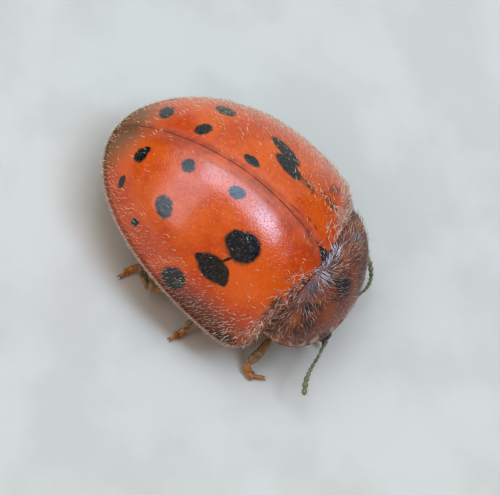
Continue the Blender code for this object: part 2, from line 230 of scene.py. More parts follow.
@dataclass
class Shape:
    """A mesh in the making.

    Attributes:
        points: the points, in millimetres.
        faces: each face's point numbers.
        unwrap: a place on a flat unwrap for each corner of each face.
        marks: named numbers or vectors, one for each point.
    """

    points: np.ndarray
    faces: list[tuple[int, ...]]
    unwrap: list[Pair]
    marks: dict[str, np.ndarray] = field(default_factory=dict)

    @classmethod
    def sheet(cls, rows: np.ndarray, closed: bool = False, ends: Ends = Ends.OPEN) -> "Shape":
        """A sheet through a grid of points, or a tube if its rows are closed.

        Args:
            rows: the grid, as rows of points.
            closed: join each row's last point to its first.
            ends: close both ends of a tube with a fan, or with a strip between the points
                that face each other across a thin section.

        Returns:
            The shape, with its grid as the unwrap.
        """
        count, across = rows.shape[:2]
        points = list(rows.reshape(-1, 3))
        faces, unwrap = [], []
        last = across if closed else across - 1
        for i in range(count - 1):
            for j in range(last):
                k = (j + 1) % across
                a, b = i * across, (i + 1) * across
                faces.append((a + j, a + k, b + k, b + j))
                unwrap += [(u / last, v / (count - 1))
                           for u, v in ((j, i), (j + 1, i), (j + 1, i + 1), (j, i + 1))]
        for i in (0, count - 1):
            v = i / (count - 1)
            if ends is Ends.FAN:
                points.append(rows[i].mean(axis=0))
                for j in range(last):
                    k = (j + 1) % across
                    faces.append((i * across + j, i * across + k, len(points) - 1))
                    unwrap += [(u / last, v) for u in (j, j + 1, j + 0.5)]
            for j in range(across // 2 - 1) if ends is Ends.STRIP else ():
                corners = (j, j + 1, across - 2 - j, across - 1 - j)
                faces.append(tuple(i * across + corner for corner in corners))
                unwrap += [(corner / last, v) for corner in corners]
        return cls(np.array(points), faces, unwrap)

    @classmethod
    def joined(cls, shapes: list["Shape"]) -> "Shape":
        """Several shapes as one.

        Args:
            shapes: the shapes, which carry the same marks.

        Returns:
            One shape, in which each has its own tile of the unwrap.
        """
        side = math.ceil(math.sqrt(len(shapes)))
        faces, unwrap, start = [], [], 0
        for number, shape in enumerate(shapes):
            column, row = number % side, number // side
            faces += [tuple(corner + start for corner in face) for face in shape.faces]
            unwrap += [((column + 0.96 * u + 0.02) / side, (row + 0.96 * v + 0.02) / side)
                       for u, v in shape.unwrap]
            start += len(shape.points)
        marks = {name: np.concatenate([shape.marks[name] for shape in shapes])
                 for name in shapes[0].marks}
        return cls(np.concatenate([shape.points for shape in shapes]), faces, unwrap, marks)

    def mesh(self, name: str, anchor: Anchor, inside: Triple | None = None) -> Mesh:
        """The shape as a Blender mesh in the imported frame.

        Args:
            name: the mesh's name.
            anchor: where the beetle's own frame lies.
            inside: a point behind an open sheet, or None for closed bodies.

        Returns:
            A smooth mesh that faces outwards, with the unwrap and the marks.
        """
        mesh = bpy.data.meshes.new(name)
        mesh.from_pydata(anchor.place(self.points), [], self.faces)
        layer = mesh.uv_layers.new(name="unwrap")
        layer.data.foreach_set("uv", np.array(self.unwrap, np.float32).ravel())
        for mark, values in self.marks.items():
            store_mark(mesh, mark, values)
        if inside is None:
            bm = bmesh.new()
            bm.from_mesh(mesh)
            bmesh.ops.remove_doubles(bm, verts=bm.verts, dist=MERGE_MM * MM)
            bmesh.ops.recalc_face_normals(bm, faces=bm.faces)
            bm.to_mesh(mesh)
            bm.free()
        else:
            behind = anchor.spot(inside)
            if sum(face.normal.dot(face.center - behind) for face in mesh.polygons) < 0.0:
                mesh.flip_normals()
        mesh.shade_smooth()
        return mesh


def store_mark(mesh: Mesh, mark: str, values: np.ndarray) -> None:
    """Keep a number or a vector for each point of a mesh.

    Args:
        mesh: the mesh.
        mark: the mark's name.
        values: one number or vector for each point.
    """
    kind, key = ("FLOAT", "value") if values.ndim == 1 else ("FLOAT_VECTOR", "vector")
    attribute = mesh.attributes.new(mark, kind, "POINT")
    attribute.data.foreach_set(key, values.astype(np.float32).ravel())


def drop_marks(mesh: Mesh, marks: tuple[str, ...]) -> None:
    """Remove the marks that were only needed while a piece was made.

    Args:
        mesh: the piece's mesh.
        marks: the marks' names.
    """
    for mark in marks:
        if mark in mesh.attributes:
            mesh.attributes.remove(mesh.attributes[mark])


def smooth_path(points: list[Triple], count: int) -> np.ndarray:
    """A smooth curve through a few points.

    Args:
        points: the points to pass through, in millimetres.
        count: how many points to read from the curve.

    Returns:
        Points at even steps of the curve's own parameter.
    """
    knots = np.array(points, float)
    ends = np.vstack((2.0 * knots[0] - knots[1], knots, 2.0 * knots[-1] - knots[-2]))
    spans = len(knots) - 1
    out = []
    for step in np.linspace(0.0, spans, count):
        i = min(int(step), spans - 1)
        t = step - i
        a, b, c, d = ends[i:i + 4]
        out.append(0.5 * (2.0 * b + (c - a) * t + (2.0 * a - 5.0 * b + 4.0 * c - d) * t * t
                          + (3.0 * b - a - 3.0 * c + d) * t ** 3))
    return np.array(out)


def sweep(path: np.ndarray, widths: np.ndarray, depths: np.ndarray, sides: int) -> Shape:
    """A closed rod with an oval section that follows a path.

    Args:
        path: the points of the centre line.
        widths: half the section's level size, at each point.
        depths: half the section's other size, at each point.
        sides: how many points go round the section.

    Returns:
        The rod, closed at both ends.
    """
    along = unit(np.gradient(path, axis=0))
    across = unit(np.cross(along, UP))
    lift = np.cross(across, along)
    turn = np.linspace(0.0, 2.0 * np.pi, sides, endpoint=False)
    rings = (path[:, None] + across[:, None] * (widths[:, None] * np.cos(turn))[..., None]
             + lift[:, None] * (depths[:, None] * np.sin(turn))[..., None])
    return Shape.sheet(rings, closed=True, ends=Ends.FAN)


def rounded(steps: np.ndarray, start: float, end: float) -> np.ndarray:
    """A factor that closes a rod with round ends.

    Args:
        steps: shares of the rod's length.
        start: the share that the first end takes.
        end: the share that the last end takes.

    Returns:
        The share of the full thickness at each step.
    """
    left = np.clip(steps / start, 0.0, 1.0)
    right = np.clip((1.0 - steps) / end, 0.0, 1.0)
    return np.sqrt(1.0 - (1.0 - left) ** 2) * np.sqrt(1.0 - (1.0 - right) ** 2) + 0.01


def rod(points: list[Triple], swell: list[Pair], flatness: float = 1.0,
        ends: Pair = (0.15, 0.15), sides: int = 16, count: int = 28) -> Shape:
    """A rounded rod through a few points.

    Args:
        points: the centre line.
        swell: pairs of a share of the length and half the width there.
        flatness: the depth as a share of the width.
        ends: the share of the length that each round end takes.
        sides: how many points go round it.
        count: how many rings it has.

    Returns:
        The rod, closed at both ends.
    """
    steps = cosine_steps(count)
    dense = smooth_path(points, 160)
    path = np.column_stack([np.interp(steps, np.linspace(0.0, 1.0, 160), column)
                            for column in dense.T])
    widths = np.interp(steps, *zip(*swell)) * rounded(steps, *ends)
    return sweep(path, widths, widths * flatness, sides)


def egg(centre: Triple, radii: Triple, rings: int = 24, sides: int = 32) -> Shape:
    """A closed ball stretched along the three axes.

    Args:
        centre: its middle.
        radii: half its size along each axis.
        rings: how many rings it has.
        sides: how many points go round each.

    Returns:
        The ball.
    """
    turn = np.linspace(0.0, np.pi, rings + 2)[1:-1][:, None]
    around = np.linspace(0.0, 2.0 * np.pi, sides, endpoint=False)[None]
    rows = stacked(np.sin(turn) * np.cos(around), np.sin(turn) * np.sin(around), np.cos(turn))
    return Shape.sheet(rows * radii + centre, closed=True, ends=Ends.FAN)


# --- the two arched shells ------------------------------------------------------------------

def arch(half_width: np.ndarray, low: np.ndarray, high: np.ndarray, angle: np.ndarray,
         power: float) -> tuple[np.ndarray, np.ndarray]:
    """x and z of an arch whose angle 0 is its +X foot and a quarter turn its crest.

    Args:
        half_width: half its width.
        low: the level of its feet.
        high: the level of its crest.
        angle: where on the arch, in radians.
        power: 2 makes an ellipse, and more makes fuller shoulders.

    Returns:
        The x and the z of each point.
    """
    c, s = np.cos(angle), np.sin(angle)
    x = half_width * np.sign(c) * np.abs(c) ** (2.0 / power)
    return x, low + (high - low) * np.abs(s) ** (2.0 / power)


def patch_axes(point: Callable, station: float, angle: float) -> np.ndarray:
    """Axes of a small patch of an arched shell.

    Args:
        point: gives the shell's point from a station and an angle.
        station: the patch's station, in millimetres.
        angle: its angle on the arch, in radians.

    Returns:
        Rows for the direction towards the tail, the direction across, the outward normal and
        the place.
    """
    step = 1e-4
    along = point(station + step, angle) - point(station - step, angle)
    round_arch = point(station, angle + step) - point(station, angle - step)
    out = unit(np.cross(along, round_arch))
    place = point(station, angle)
    if out @ (place - BEHIND_SPOTS) < 0.0:
        out = -out
    tailward = unit(np.array((0.0, 1.0, 0.0)) - out[1] * out)
    return np.array((tailward, np.cross(out, tailward), out, place))


def grid_normals(grid: np.ndarray, inside: Triple) -> np.ndarray:
    """Outward unit normals of a grid of points on a shell.

    Args:
        grid: the rows of points.
        inside: a point that the shell lies round.

    Returns:
        A normal for each point.
    """
    normals = unit(np.cross(np.gradient(grid, axis=0), np.gradient(grid, axis=1)))
    middle = len(grid) // 2, grid.shape[1] // 2
    outwards = normals[middle] @ (grid[middle] - np.array(inside)) > 0.0
    return normals if outwards else -normals


def combed(lie: np.ndarray, normals: np.ndarray) -> np.ndarray:
    """Directions laid flat on a skin with those normals."""
    return unit(lie - (lie * normals).sum(-1, keepdims=True) * normals)


def run_lengths(grid: np.ndarray, axis: int) -> np.ndarray:
    """How far each point lies along its row or column from the first one.

    Args:
        grid: the rows of points.
        axis: 0 for the distance along columns and 1 along rows.

    Returns:
        A distance for each point.
    """
    steps = np.linalg.norm(np.diff(grid, axis=axis), axis=-1)
    start = np.zeros_like(np.take(steps, [0], axis=axis))
    return np.concatenate((start, np.cumsum(steps, axis=axis)), axis=axis)


def edge_distances(grid: np.ndarray, rim: np.ndarray) -> np.ndarray:
    """How far each point of a grid is from the nearest of some rim points."""
    return np.linalg.norm(grid[:, :, None] - rim[None, None], axis=-1).min(axis=2)


@dataclass(frozen=True)
class Spot:
    """One oval of a mark on a shell.

    Attributes:
        station: millimetres behind the base.
        bearing: degrees up from the rim.
        half_length: half its longer size, in millimetres.
        half_width: half its shorter size.
        turn: degrees that its length turns from the line of the body.
    """

    station: float
    bearing: float
    half_length: float
    half_width: float
    turn: float = 0.0

    def turned(self, axes: np.ndarray) -> np.ndarray:
        """The oval's own axes on the patch of a shell that it lies on.

        Args:
            axes: the patch's axes and place, as patch_axes gives them.

        Returns:
            Rows for the oval's length, its width, the outward normal and its middle.
        """
        tailward, across, out, centre = axes
        turn = math.radians(self.turn)
        long = math.cos(turn) * tailward + math.sin(turn) * across
        return np.array((long, np.cross(out, long), out, centre))


@dataclass(frozen=True)
class Dome:
    """The arch of the two wing cases, in millimetres and degrees."""

    length: float = 3.0
    half_width: float = 1.46
    height: float = 1.29
    rim_level: float = 0.56
    rim_arch: float = 0.12
    rim_dip: float = 0.107
    widest_at: float = 0.78
    highest_at: float = 1.37
    shoulder_reach: float = 0.134
    brow_reach: float = 0.446
    outline_powers: Pair = (2.04, 3.58)
    profile_powers: Pair = (1.70, 1.98)
    arch_power: float = 2.02
    base_bow: float = 0.06
    bow_fade: float = 0.45

    def closing(self, y: np.ndarray, peak: float, reach: float, powers: Pair) -> np.ndarray:
        """A curve that rises to 1 at its peak and closes at the tail and ahead of the base.

        Args:
            y: the stations to read.
            peak: the peak's station.
            reach: how far ahead of the base it would close.
            powers: how full it is behind the peak and ahead of it.

        Returns:
            The curve's height, from 0 to 1.
        """
        behind = y > peak
        t = np.where(behind, (y - peak) / (self.length - peak), (peak - y) / (peak + reach))
        power = np.where(behind, *powers)
        return (1.0 - np.clip(t, 0.0, 1.0) ** power) ** (1.0 / power)

    def width_at(self, y: np.ndarray) -> np.ndarray:
        """Half the width of the wing cases at a station."""
        curve = self.closing(y, self.widest_at, self.shoulder_reach, self.outline_powers)
        return self.half_width * curve

    def top_at(self, y: np.ndarray) -> np.ndarray:
        """Height above the floor of the crest at a station."""
        curve = self.closing(y, self.highest_at, self.brow_reach, self.profile_powers)
        return self.rim_level + self.height * curve

    def rim_at(self, y: np.ndarray) -> np.ndarray:
        """Height above the floor of the rim at a station."""
        ahead = 1.0 - np.clip(y / self.length, 0.0, 1.0)
        return self.rim_level + ahead * (4.0 * self.rim_arch * (1.0 - ahead) - self.rim_dip * ahead)

    def bowed(self, y: np.ndarray, angle: np.ndarray) -> np.ndarray:
        """A station near the base moved forward, most at the crest and none at the rim."""
        fade = np.maximum(0.0, 1.0 - np.abs(y) / self.bow_fade)
        return y - self.base_bow * np.sin(angle) * fade

    def point(self, y: np.ndarray, angle: np.ndarray, side: float) -> np.ndarray:
        """Points of the dome: angle 0 is the rim and a quarter turn the crest."""
        x, z = arch(self.width_at(y), self.rim_at(y), self.top_at(y), angle, self.arch_power)
        return stacked(side * x, self.bowed(y, angle), z)

    def patch(self, spot: Spot, side: Side) -> np.ndarray:
        """Axes and place of the patch of one wing case that a spot lies on."""
        return patch_axes(lambda y, angle: self.point(y, angle, side.value), spot.station,
                          math.radians(spot.bearing))




# --- finishes -------------------------------------------------------------------------------

class Pattern:
    """Masks and colours in a node tree, in the beetle's own millimetres."""

    SOFT_JOIN = 0.12    # how softly two ovals of one mark run together

    def __init__(self, tree: bpy.types.NodeTree, anchor: Anchor) -> None:
        """Start a pattern on a tree that reads Object coordinates."""
        self.tree, self.anchor = tree, anchor
        self.place = add(tree, "ShaderNodeTexCoord", out="Object")

    def noise(self, size_mm: float, detail: float = 3.0, out: int = 0) -> Socket:
        """A cloud of noise whose blotches have that size: output 0 is grey and 1 coloured."""
        inputs = {"Vector": self.place, "Scale": per_mm(size_mm), "Detail": detail}
        return add(self.tree, "ShaderNodeTexNoise", inputs, out)

    def cells(self, size_mm: float) -> Socket:
        """The distance from the middle of each of many cells of that size."""
        inputs = {"Vector": self.place, "Scale": per_mm(size_mm)}
        return add(self.tree, "ShaderNodeTexVoronoi", inputs, "Distance")

    def fade(self, value: Socket, start: float, end: float, at_start: float = 1.0,
             at_end: float = 0.0) -> Socket:
        """A smooth change from one number to another.

        Args:
            value: the value that drives it.
            start: where the change starts.
            end: where it ends.
            at_start: the number up to the start.
            at_end: the number from the end on.

        Returns:
            The number.
        """
        inputs = {"Value": value, "From Min": start, "From Max": end, "To Min": at_start,
                  "To Max": at_end}
        return add(self.tree, "ShaderNodeMapRange", inputs, interpolation_type="SMOOTHSTEP")

    def cloud(self, size_mm: float, low: float, high: float, thin: float = 0.0,
              thick: float = 1.0, detail: float = 3.0) -> Socket:
        """Soft patches: thin where the noise is under low and thick where it is over high."""
        return self.fade(self.noise(size_mm, detail), low, high, thin, thick)

    def wobble(self, size_mm: float, reach_mm: float) -> Socket:
        """Object coordinates pushed about, so that an outline isn't a perfect oval.

        Args:
            size_mm: the size of the bulges.
            reach_mm: how far they push at most.

        Returns:
            The coordinates.
        """
        reach = reach_mm * MM
        pushed = add(self.tree, "ShaderNodeVectorMath",
                     {0: self.noise(size_mm, 2.0, 1), 1: [2.0 * reach] * 3, 2: self.place},
                     operation="MULTIPLY_ADD")
        return add(self.tree, "ShaderNodeVectorMath", {0: pushed, 1: [reach] * 3},
                   operation="SUBTRACT")

    def oval(self, axes: np.ndarray, halves: Triple, place: Socket) -> Socket:
        """How far a point is from an oval's centre, with 1 on its edge.

        Args:
            axes: the oval's three axes and its centre, as rows.
            halves: half its size along each axis, in millimetres.
            place: the coordinates to read.

        Returns:
            The distance.
        """
        inputs = {"Vector": place, "Location": self.anchor.spot(tuple(axes[3])),
                  "Rotation": Matrix(axes[:3].tolist()).transposed().to_euler(),
                  "Scale": [half * MM for half in halves]}
        local = add(self.tree, "ShaderNodeMapping", inputs, vector_type="TEXTURE")
        return add(self.tree, "ShaderNodeVectorMath", {0: local}, "Value", operation="LENGTH")

    def ball(self, centre: Triple, halves: Triple, wobble: Pair) -> Socket:
        """How far a point is from the centre of an upright oval with a wobbly outline."""
        axes = np.vstack((np.eye(3), centre))
        return self.oval(axes, halves, self.wobble(*wobble))

    def spots(self, spots: tuple[Spot, ...], patch: Callable, place: Socket) -> Socket:
        """The least distance from a set of spots, blended where they touch.

        Args:
            spots: the spots.
            patch: gives the axes of the patch that a spot lies on.
            place: the coordinates to read.

        Returns:
            The distance, with 1 on a spot's edge.
        """
        nearest = None
        for spot in spots:
            halves = (spot.half_length, spot.half_width, 4.0 * spot.half_length)
            distance = self.oval(spot.turned(patch(spot)), halves, place)
            if nearest is not None:
                distance = add(self.tree, "ShaderNodeMath",
                               {0: nearest, 1: distance, 2: self.SOFT_JOIN},
                               operation="SMOOTH_MIN")
            nearest = distance
        return nearest

    def product(self, mask: float | Socket, *others: Socket) -> float | Socket:
        """Several masks multiplied together.

        Args:
            mask: the first mask, or a plain number.
            *others: the other masks.

        Returns:
            The product.
        """
        for other in others:
            mask = add(self.tree, "ShaderNodeMath", {0: mask, 1: other}, operation="MULTIPLY")
        return mask

    def lay(self, base: str | Socket, top: str | Socket, *shares: float | Socket) -> Socket:
        """Lay one colour over another.

        Args:
            base: the colour below, as hex digits or a socket.
            top: the colour above.
            *shares: factors of how much of it shows.

        Returns:
            The mixed colour.
        """
        under, over = (linear(c) if isinstance(c, str) else c for c in (base, top))
        return add(self.tree, "ShaderNodeMix", {0: self.product(*shares), 6: under, 7: over},
                   2, data_type="RGBA")

    def from_rim(self) -> Socket:
        """Millimetres from the rim, which the mesh carries for each point."""
        return add(self.tree, "ShaderNodeAttribute", out="Fac", attribute_name="edge")

    def from_middle(self) -> Socket:
        """How far a point is from the middle line.

        Returns:
            The distance to either side, in metres.
        """
        x = add(self.tree, "ShaderNodeSeparateXYZ", {0: self.place}, "X")
        shifted = add(self.tree, "ShaderNodeMath", {0: x, 1: self.anchor.middle * MM},
                      operation="SUBTRACT")
        return add(self.tree, "ShaderNodeMath", {0: shifted}, operation="ABSOLUTE")


Look = tuple[dict[str, object], list[tuple[Socket, float]]]


class Finish:
    """What a surface is made of, as a material in the making."""

    def paint(self, pattern: Pattern) -> Look:
        """Paint the surface.

        Args:
            pattern: the masks and colours to paint with.

        Returns:
            A value or socket for each of the shader's inputs that matter, and its bumps, as
            pairs of a height from 0 to 1 and a depth in millimetres.
        """
        raise NotImplementedError

    def make(self, name: str, anchor: Anchor) -> Material:
        """Build the material.

        Args:
            name: the material's name.
            anchor: where the beetle's own frame lies.

        Returns:
            The material.
        """
        material = bpy.data.materials.new(name)
        material.use_nodes = True
        tree = material.node_tree
        values, bumps = self.paint(Pattern(tree, anchor))
        for height, depth_mm in bumps:
            inputs = {"Height": height, "Distance": depth_mm * MM, "Strength": 1.0}
            if "Normal" in values:
                inputs["Normal"] = values["Normal"]
            values["Normal"] = add(tree, "ShaderNodeBump", inputs)
        shader = tree.nodes["Principled BSDF"]
        for key, value in values.items():
            if isinstance(value, Socket):
                tree.links.new(value, shader.inputs[key])
            else:
                shader.inputs[key].default_value = value
        return material


@dataclass(frozen=True)
class Markings:
    """The spots and smudges of one wing case.

    Attributes:
        spots: the black spots.
        faint: thin brown smudges.
        brown_base: darker brown patches near the base.
        seam_brown_and_shade: how far the brown band beside the seam reaches, and how strong it is; it
            is partly the cuticle's own brown and partly painted shade that dims the orange under the
            sheen.
    """

    spots: tuple[Spot, ...]
    faint: tuple[Spot, ...]
    brown_base: tuple[Spot, ...]
    seam_brown_and_shade: Pair

    # The lower front corner, the same on both sides
    GLOSSY = (Spot(0.10, 9.0, 0.16, 0.12),)
    CORNER = (Spot(0.33, 5.0, 0.17, 0.10),)


MARKINGS = {
    Side.RIGHT: Markings(
        spots=(Spot(2.62, 60.5, 0.10, 0.09, -78.0), Spot(2.60, 68.0, 0.055, 0.045, -43.0),
               Spot(2.59, 29.0, 0.085, 0.05, -67.0), Spot(2.155, 18.3, 0.07, 0.055, 67.0),
               Spot(2.09, 74.0, 0.095, 0.09, -33.0), Spot(2.01, 43.7, 0.15, 0.112, -31.0),
               Spot(1.40, 77.6, 0.115, 0.083, 16.0), Spot(0.895, 58.4, 0.218, 0.205, 19.0),
               Spot(1.03, 58.0, 0.15, 0.14, 32.0), Spot(1.045, 38.0, 0.235, 0.155, -10.0),
               Spot(1.26, 37.6, 0.075, 0.06, 22.0), Spot(0.86, 37.5, 0.10, 0.077, -45.0),
               Spot(0.90, 40.6, 0.11, 0.075, -42.0), Spot(0.975, 47.3, 0.085, 0.022, 60.0),
               Spot(1.33, 13.3, 0.19, 0.165, 85.0)),
        faint=(Spot(0.31, 88.6, 0.11, 0.03, -8.0), Spot(0.14, 48.0, 0.09, 0.08, 10.0)),
        brown_base=(Spot(0.03, 68.0, 0.10, 0.14), Spot(0.05, 58.0, 0.13, 0.15),
                    Spot(0.12, 47.5, 0.13, 0.12, 10.0), Spot(0.10, 38.0, 0.13, 0.15),
                    Spot(0.08, 28.0, 0.09, 0.15)),
        seam_brown_and_shade=(0.36, 0.42)),
    Side.LEFT: Markings(
        spots=(Spot(2.67, 64.8, 0.14, 0.10, -78.0), Spot(2.66, 30.0, 0.085, 0.05, 67.0),
               Spot(2.20, 77.5, 0.118, 0.088, 54.0), Spot(2.20, 20.0, 0.07, 0.055, -67.0),
               Spot(2.09, 51.8, 0.145, 0.105, -30.0), Spot(1.49, 82.6, 0.12, 0.066, -1.0),
               Spot(1.185, 61.8, 0.25, 0.10, -12.0), Spot(1.05, 70.0, 0.225, 0.105, -5.0),
               Spot(1.40, 15.0, 0.19, 0.165, -85.0)),
        faint=(Spot(0.38, 55.5, 0.15, 0.07, 59.0), Spot(0.595, 71.7, 0.035, 0.024, 65.0),
               Spot(0.64, 86.6, 0.15, 0.018, 7.0), Spot(0.44, 84.6, 0.06, 0.02, 3.0),
               Spot(0.31, 84.6, 0.05, 0.02, -4.0)),
        brown_base=(Spot(-0.02, 78.0, 0.05, 0.17), Spot(0.00, 62.0, 0.07, 0.16),
                    Spot(0.02, 48.0, 0.08, 0.18), Spot(0.72, 70.0, 0.24, 0.05, 8.0),
                    Spot(0.32, 65.0, 0.24, 0.06, 8.0)),
        seam_brown_and_shade=(0.12, 0.55)),
}


@dataclass(frozen=True)
class WingCasePaint:
    """The colours of one wing case, shared by its shell and its coat of hairs."""

    side: Side
    dome: Dome
    anchor: Anchor
    orange: str = "#D85107"
    deep: str = "#C43D04"
    bright: str = "#E06018"
    # painted shade: the dark brown laid over the low flank
    flank: str = "#541B05"
    corner: str = "#2E1A0C"
    glossy: str = "#A8460E"
    olive: str = "#6A4610"
    suture: str = "#4A1A12"
    black: str = "#070607"
    frost: str = "#3A3638"
    faint: str = "#6E2A0E"
    base_dark: str = "#42200E"

    def group(self) -> bpy.types.ShaderNodeTree:
        """Paint the markings.

        Returns:
            A node group with one output, Colour.
        """
        tree = bpy.data.node_groups.new(f"wing_case_markings_{self.side.word}",
                                        "ShaderNodeTree")
        tree.interface.new_socket("Colour", in_out="OUTPUT", socket_type="NodeSocketColor")
        pattern = Pattern(tree, self.anchor)
        colour = pattern.lay(self.deep, self.orange, pattern.cloud(0.55, 0.38, 0.62))
        for top, *shares in (*self.grounds(pattern), *self.seam(pattern), *self.marks(pattern)):
            colour = pattern.lay(colour, top, *shares)
        add(tree, "NodeGroupOutput", {0: colour})
        return tree

    def grounds(self, pattern: Pattern) -> list[tuple]:
        """The broad colours: bright specks, painted shade that darkens the low flank, and an olive
        tail and rump.

        Args:
            pattern: what to paint with.

        Returns:
            For each layer, a colour and the masks it shows through.
        """
        side = self.side.value
        # painted shade: this ball darkens the low flank on both sides, where the light falls off
        flank = pattern.ball((side * 1.52, 0.80, 0.56), (0.62, 0.98, 0.66), (0.25, 0.05))
        tail = pattern.ball((0.0, 3.0, 0.62), (0.82, 0.58, 0.72), (0.3, 0.06))
        rump = pattern.ball((side * 0.80, 2.72, 0.36), (0.48, 0.42, 0.34), (0.2, 0.06))
        return [(self.bright, pattern.cloud(0.05, 0.45, 0.72, 0.0, 0.55, 2.0)),
                (self.flank, pattern.fade(flank, 0.40, 1.08, 0.90)),
                (self.olive, pattern.fade(tail, 0.45, 1.1, 0.86)),
                (self.olive, pattern.fade(rump, 0.35, 1.1, 0.75))]

    def seam(self, pattern: Pattern) -> list[tuple]:
        """The dark line where the wing cases meet and the streaky brown band beside it, which is
        partly the cuticle's own brown and partly painted shade.

        Args:
            pattern: what to paint with.

        Returns:
            For each layer, a colour and the masks it shows through.
        """
        middle = pattern.from_middle()
        # the band beside the seam is partly the cuticle's own brown and partly painted shade, widest
        # on the right
        reach, strength = MARKINGS[self.side].seam_brown_and_shade
        return [(self.suture, pattern.fade(middle, 0.012 * MM, reach * MM, strength),
                 pattern.cloud(0.16, 0.35, 0.65, 0.3)),
                (self.suture, pattern.fade(middle, 0.003 * MM, 0.013 * MM, 0.9),
                 pattern.cloud(0.3, 0.38, 0.55, 0.45))]

    def marks(self, pattern: Pattern) -> list[tuple]:
        """The smudges, the spots with their soft brown outline, and the front corner.

        Args:
            pattern: what to paint with.

        Returns:
            For each layer, a colour and the masks it shows through.
        """
        marks = MARKINGS[self.side]
        ragged = pattern.wobble(0.06, 0.022)
        faint, base_dark, spots, glossy, corner = (
            pattern.spots(group, self.patch, ragged)
            for group in (marks.faint, marks.brown_base, marks.spots, marks.GLOSSY,
                          marks.CORNER))
        frosted = pattern.lay(self.black, self.frost,
                              pattern.cloud(0.03, 0.5, 0.68, 0.0, 0.9, 2.0))
        return [(self.faint, pattern.fade(faint, 0.6, 1.3, 0.7)),
                # darker brown patches near the base, made patchy by noise
                (self.base_dark, pattern.fade(base_dark, 0.55, 1.15),
                 pattern.cloud(0.07, 0.36, 0.58, 0.25, 0.9, 2.0)),
                (self.faint, pattern.fade(spots, 0.95, 1.22, 0.75)),
                (frosted, pattern.fade(spots, 0.90, 1.05)),
                (self.glossy, pattern.fade(glossy, 0.6, 1.2, 0.8)),
                (self.corner, pattern.fade(corner, 0.75, 1.1, 0.85))]

    def patch(self, spot: Spot) -> np.ndarray:
        """The patch of the dome that a spot lies on."""
        return self.dome.patch(spot, self.side)


@dataclass(frozen=True)
class WingCaseChitin(Finish):
    """Polished beetle cuticle: hard, waxy and slightly see-through.

    It gives the eye an orange glow under a clear pinkish sheen, with fine punctures that
    break the highlight, and a pale line along the rim that is partly the pale bead and
    partly a painted highlight on its edge. The sheen fades down the flank and beside the
    seam, where the real cuticle is duller.
    """

    paint_group: bpy.types.ShaderNodeTree
    rim_level: float
    edge_brown: str = "#4E200E"
    edge_pale: str = "#C2A084"
    pit_spacing_mm: float = 0.032
    pit_depth_mm: float = 0.0022
    grain_mm: float = 0.03
    grain_depth_mm: float = 0.0024
    ripple_mm: float = 0.30
    ripple_depth_mm: float = 0.006

    def paint(self, pattern: Pattern) -> Look:
        """Paint the cuticle.

        Args:
            pattern: the masks and colours to paint with.

        Returns:
            The look, as Finish.paint gives it.
        """
        edge = pattern.from_rim()
        colour = add(pattern.tree, "ShaderNodeGroup", node_tree=self.paint_group)
        colour = pattern.lay(colour, self.edge_brown, pattern.fade(edge, 0.02, 0.13, 0.6))
        # a pale line at the rim: partly the pale bead, partly a painted highlight on its edge
        colour = pattern.lay(colour, self.edge_pale, pattern.fade(edge, 0.004, 0.014, 0.6))
        level = add(pattern.tree, "ShaderNodeSeparateXYZ", {0: pattern.place}, "Z")
        rim, seam = self.rim_level, pattern.from_middle()
        polish = pattern.fade(level, (rim + 0.05) * MM, (rim + 0.55) * MM, 0.62, 0.22)
        dull = pattern.fade(seam, 0.04 * MM, 0.20 * MM, 0.34)
        rough = add(pattern.tree, "ShaderNodeMath", {0: polish, 1: dull}, operation="ADD")
        coat = pattern.product(
            pattern.fade(level, (rim + 0.15) * MM, (rim + 0.75) * MM, 0.0, 0.45),
            pattern.fade(seam, 0.04 * MM, 0.20 * MM, 0.0, 1.0))
        pits = pattern.fade(pattern.cells(self.pit_spacing_mm), 0.05, 0.42, 0.0, 1.0)
        return ({"Base Color": colour, "Roughness": rough, "Coat Weight": coat, "IOR": 1.48,
                 "Coat Roughness": 0.14, "Subsurface Weight": 0.12,
                 "Subsurface Radius": (1.0, 0.25, 0.08), "Subsurface Scale": 0.08 * MM},
                [(pattern.noise(self.ripple_mm, 2.0), self.ripple_depth_mm),
                 (pits, self.pit_depth_mm),
                 (pattern.noise(self.grain_mm, 2.0), self.grain_depth_mm)])


@dataclass(frozen=True)
class PlainChitin(Finish):
    """Cuticle of one colour family: mottled, finely pitted and a little translucent.

    It gives the eye a soft satin shine with darker blotches and a fine leathery grain.
    """

    base: str
    dark: str
    light: str
    roughness: float = 0.42
    blotch_mm: float = 0.16
    grain_mm: float = 0.03
    grain_depth_mm: float = 0.0015
    glow: float = 0.1

    def paint(self, pattern: Pattern) -> Look:
        """Paint the cuticle.

        Args:
            pattern: the masks and colours to paint with.

        Returns:
            The look, as Finish.paint gives it.
        """
        colour = pattern.lay(self.base, self.dark, pattern.cloud(self.blotch_mm, 0.42, 0.66))
        colour = pattern.lay(colour, self.light,
                             pattern.cloud(self.grain_mm * 2.0, 0.5, 0.75, 0.0, 0.6, 2.0))
        return ({"Base Color": colour, "Roughness": self.roughness, "IOR": 1.55,
                 "Subsurface Weight": self.glow, "Subsurface Radius": (1.0, 0.4, 0.15),
                 "Subsurface Scale": 0.05 * MM},
                [(pattern.cells(self.grain_mm), self.grain_depth_mm),
                 (pattern.noise(self.grain_mm * 4.0), self.grain_depth_mm * 2.0)])


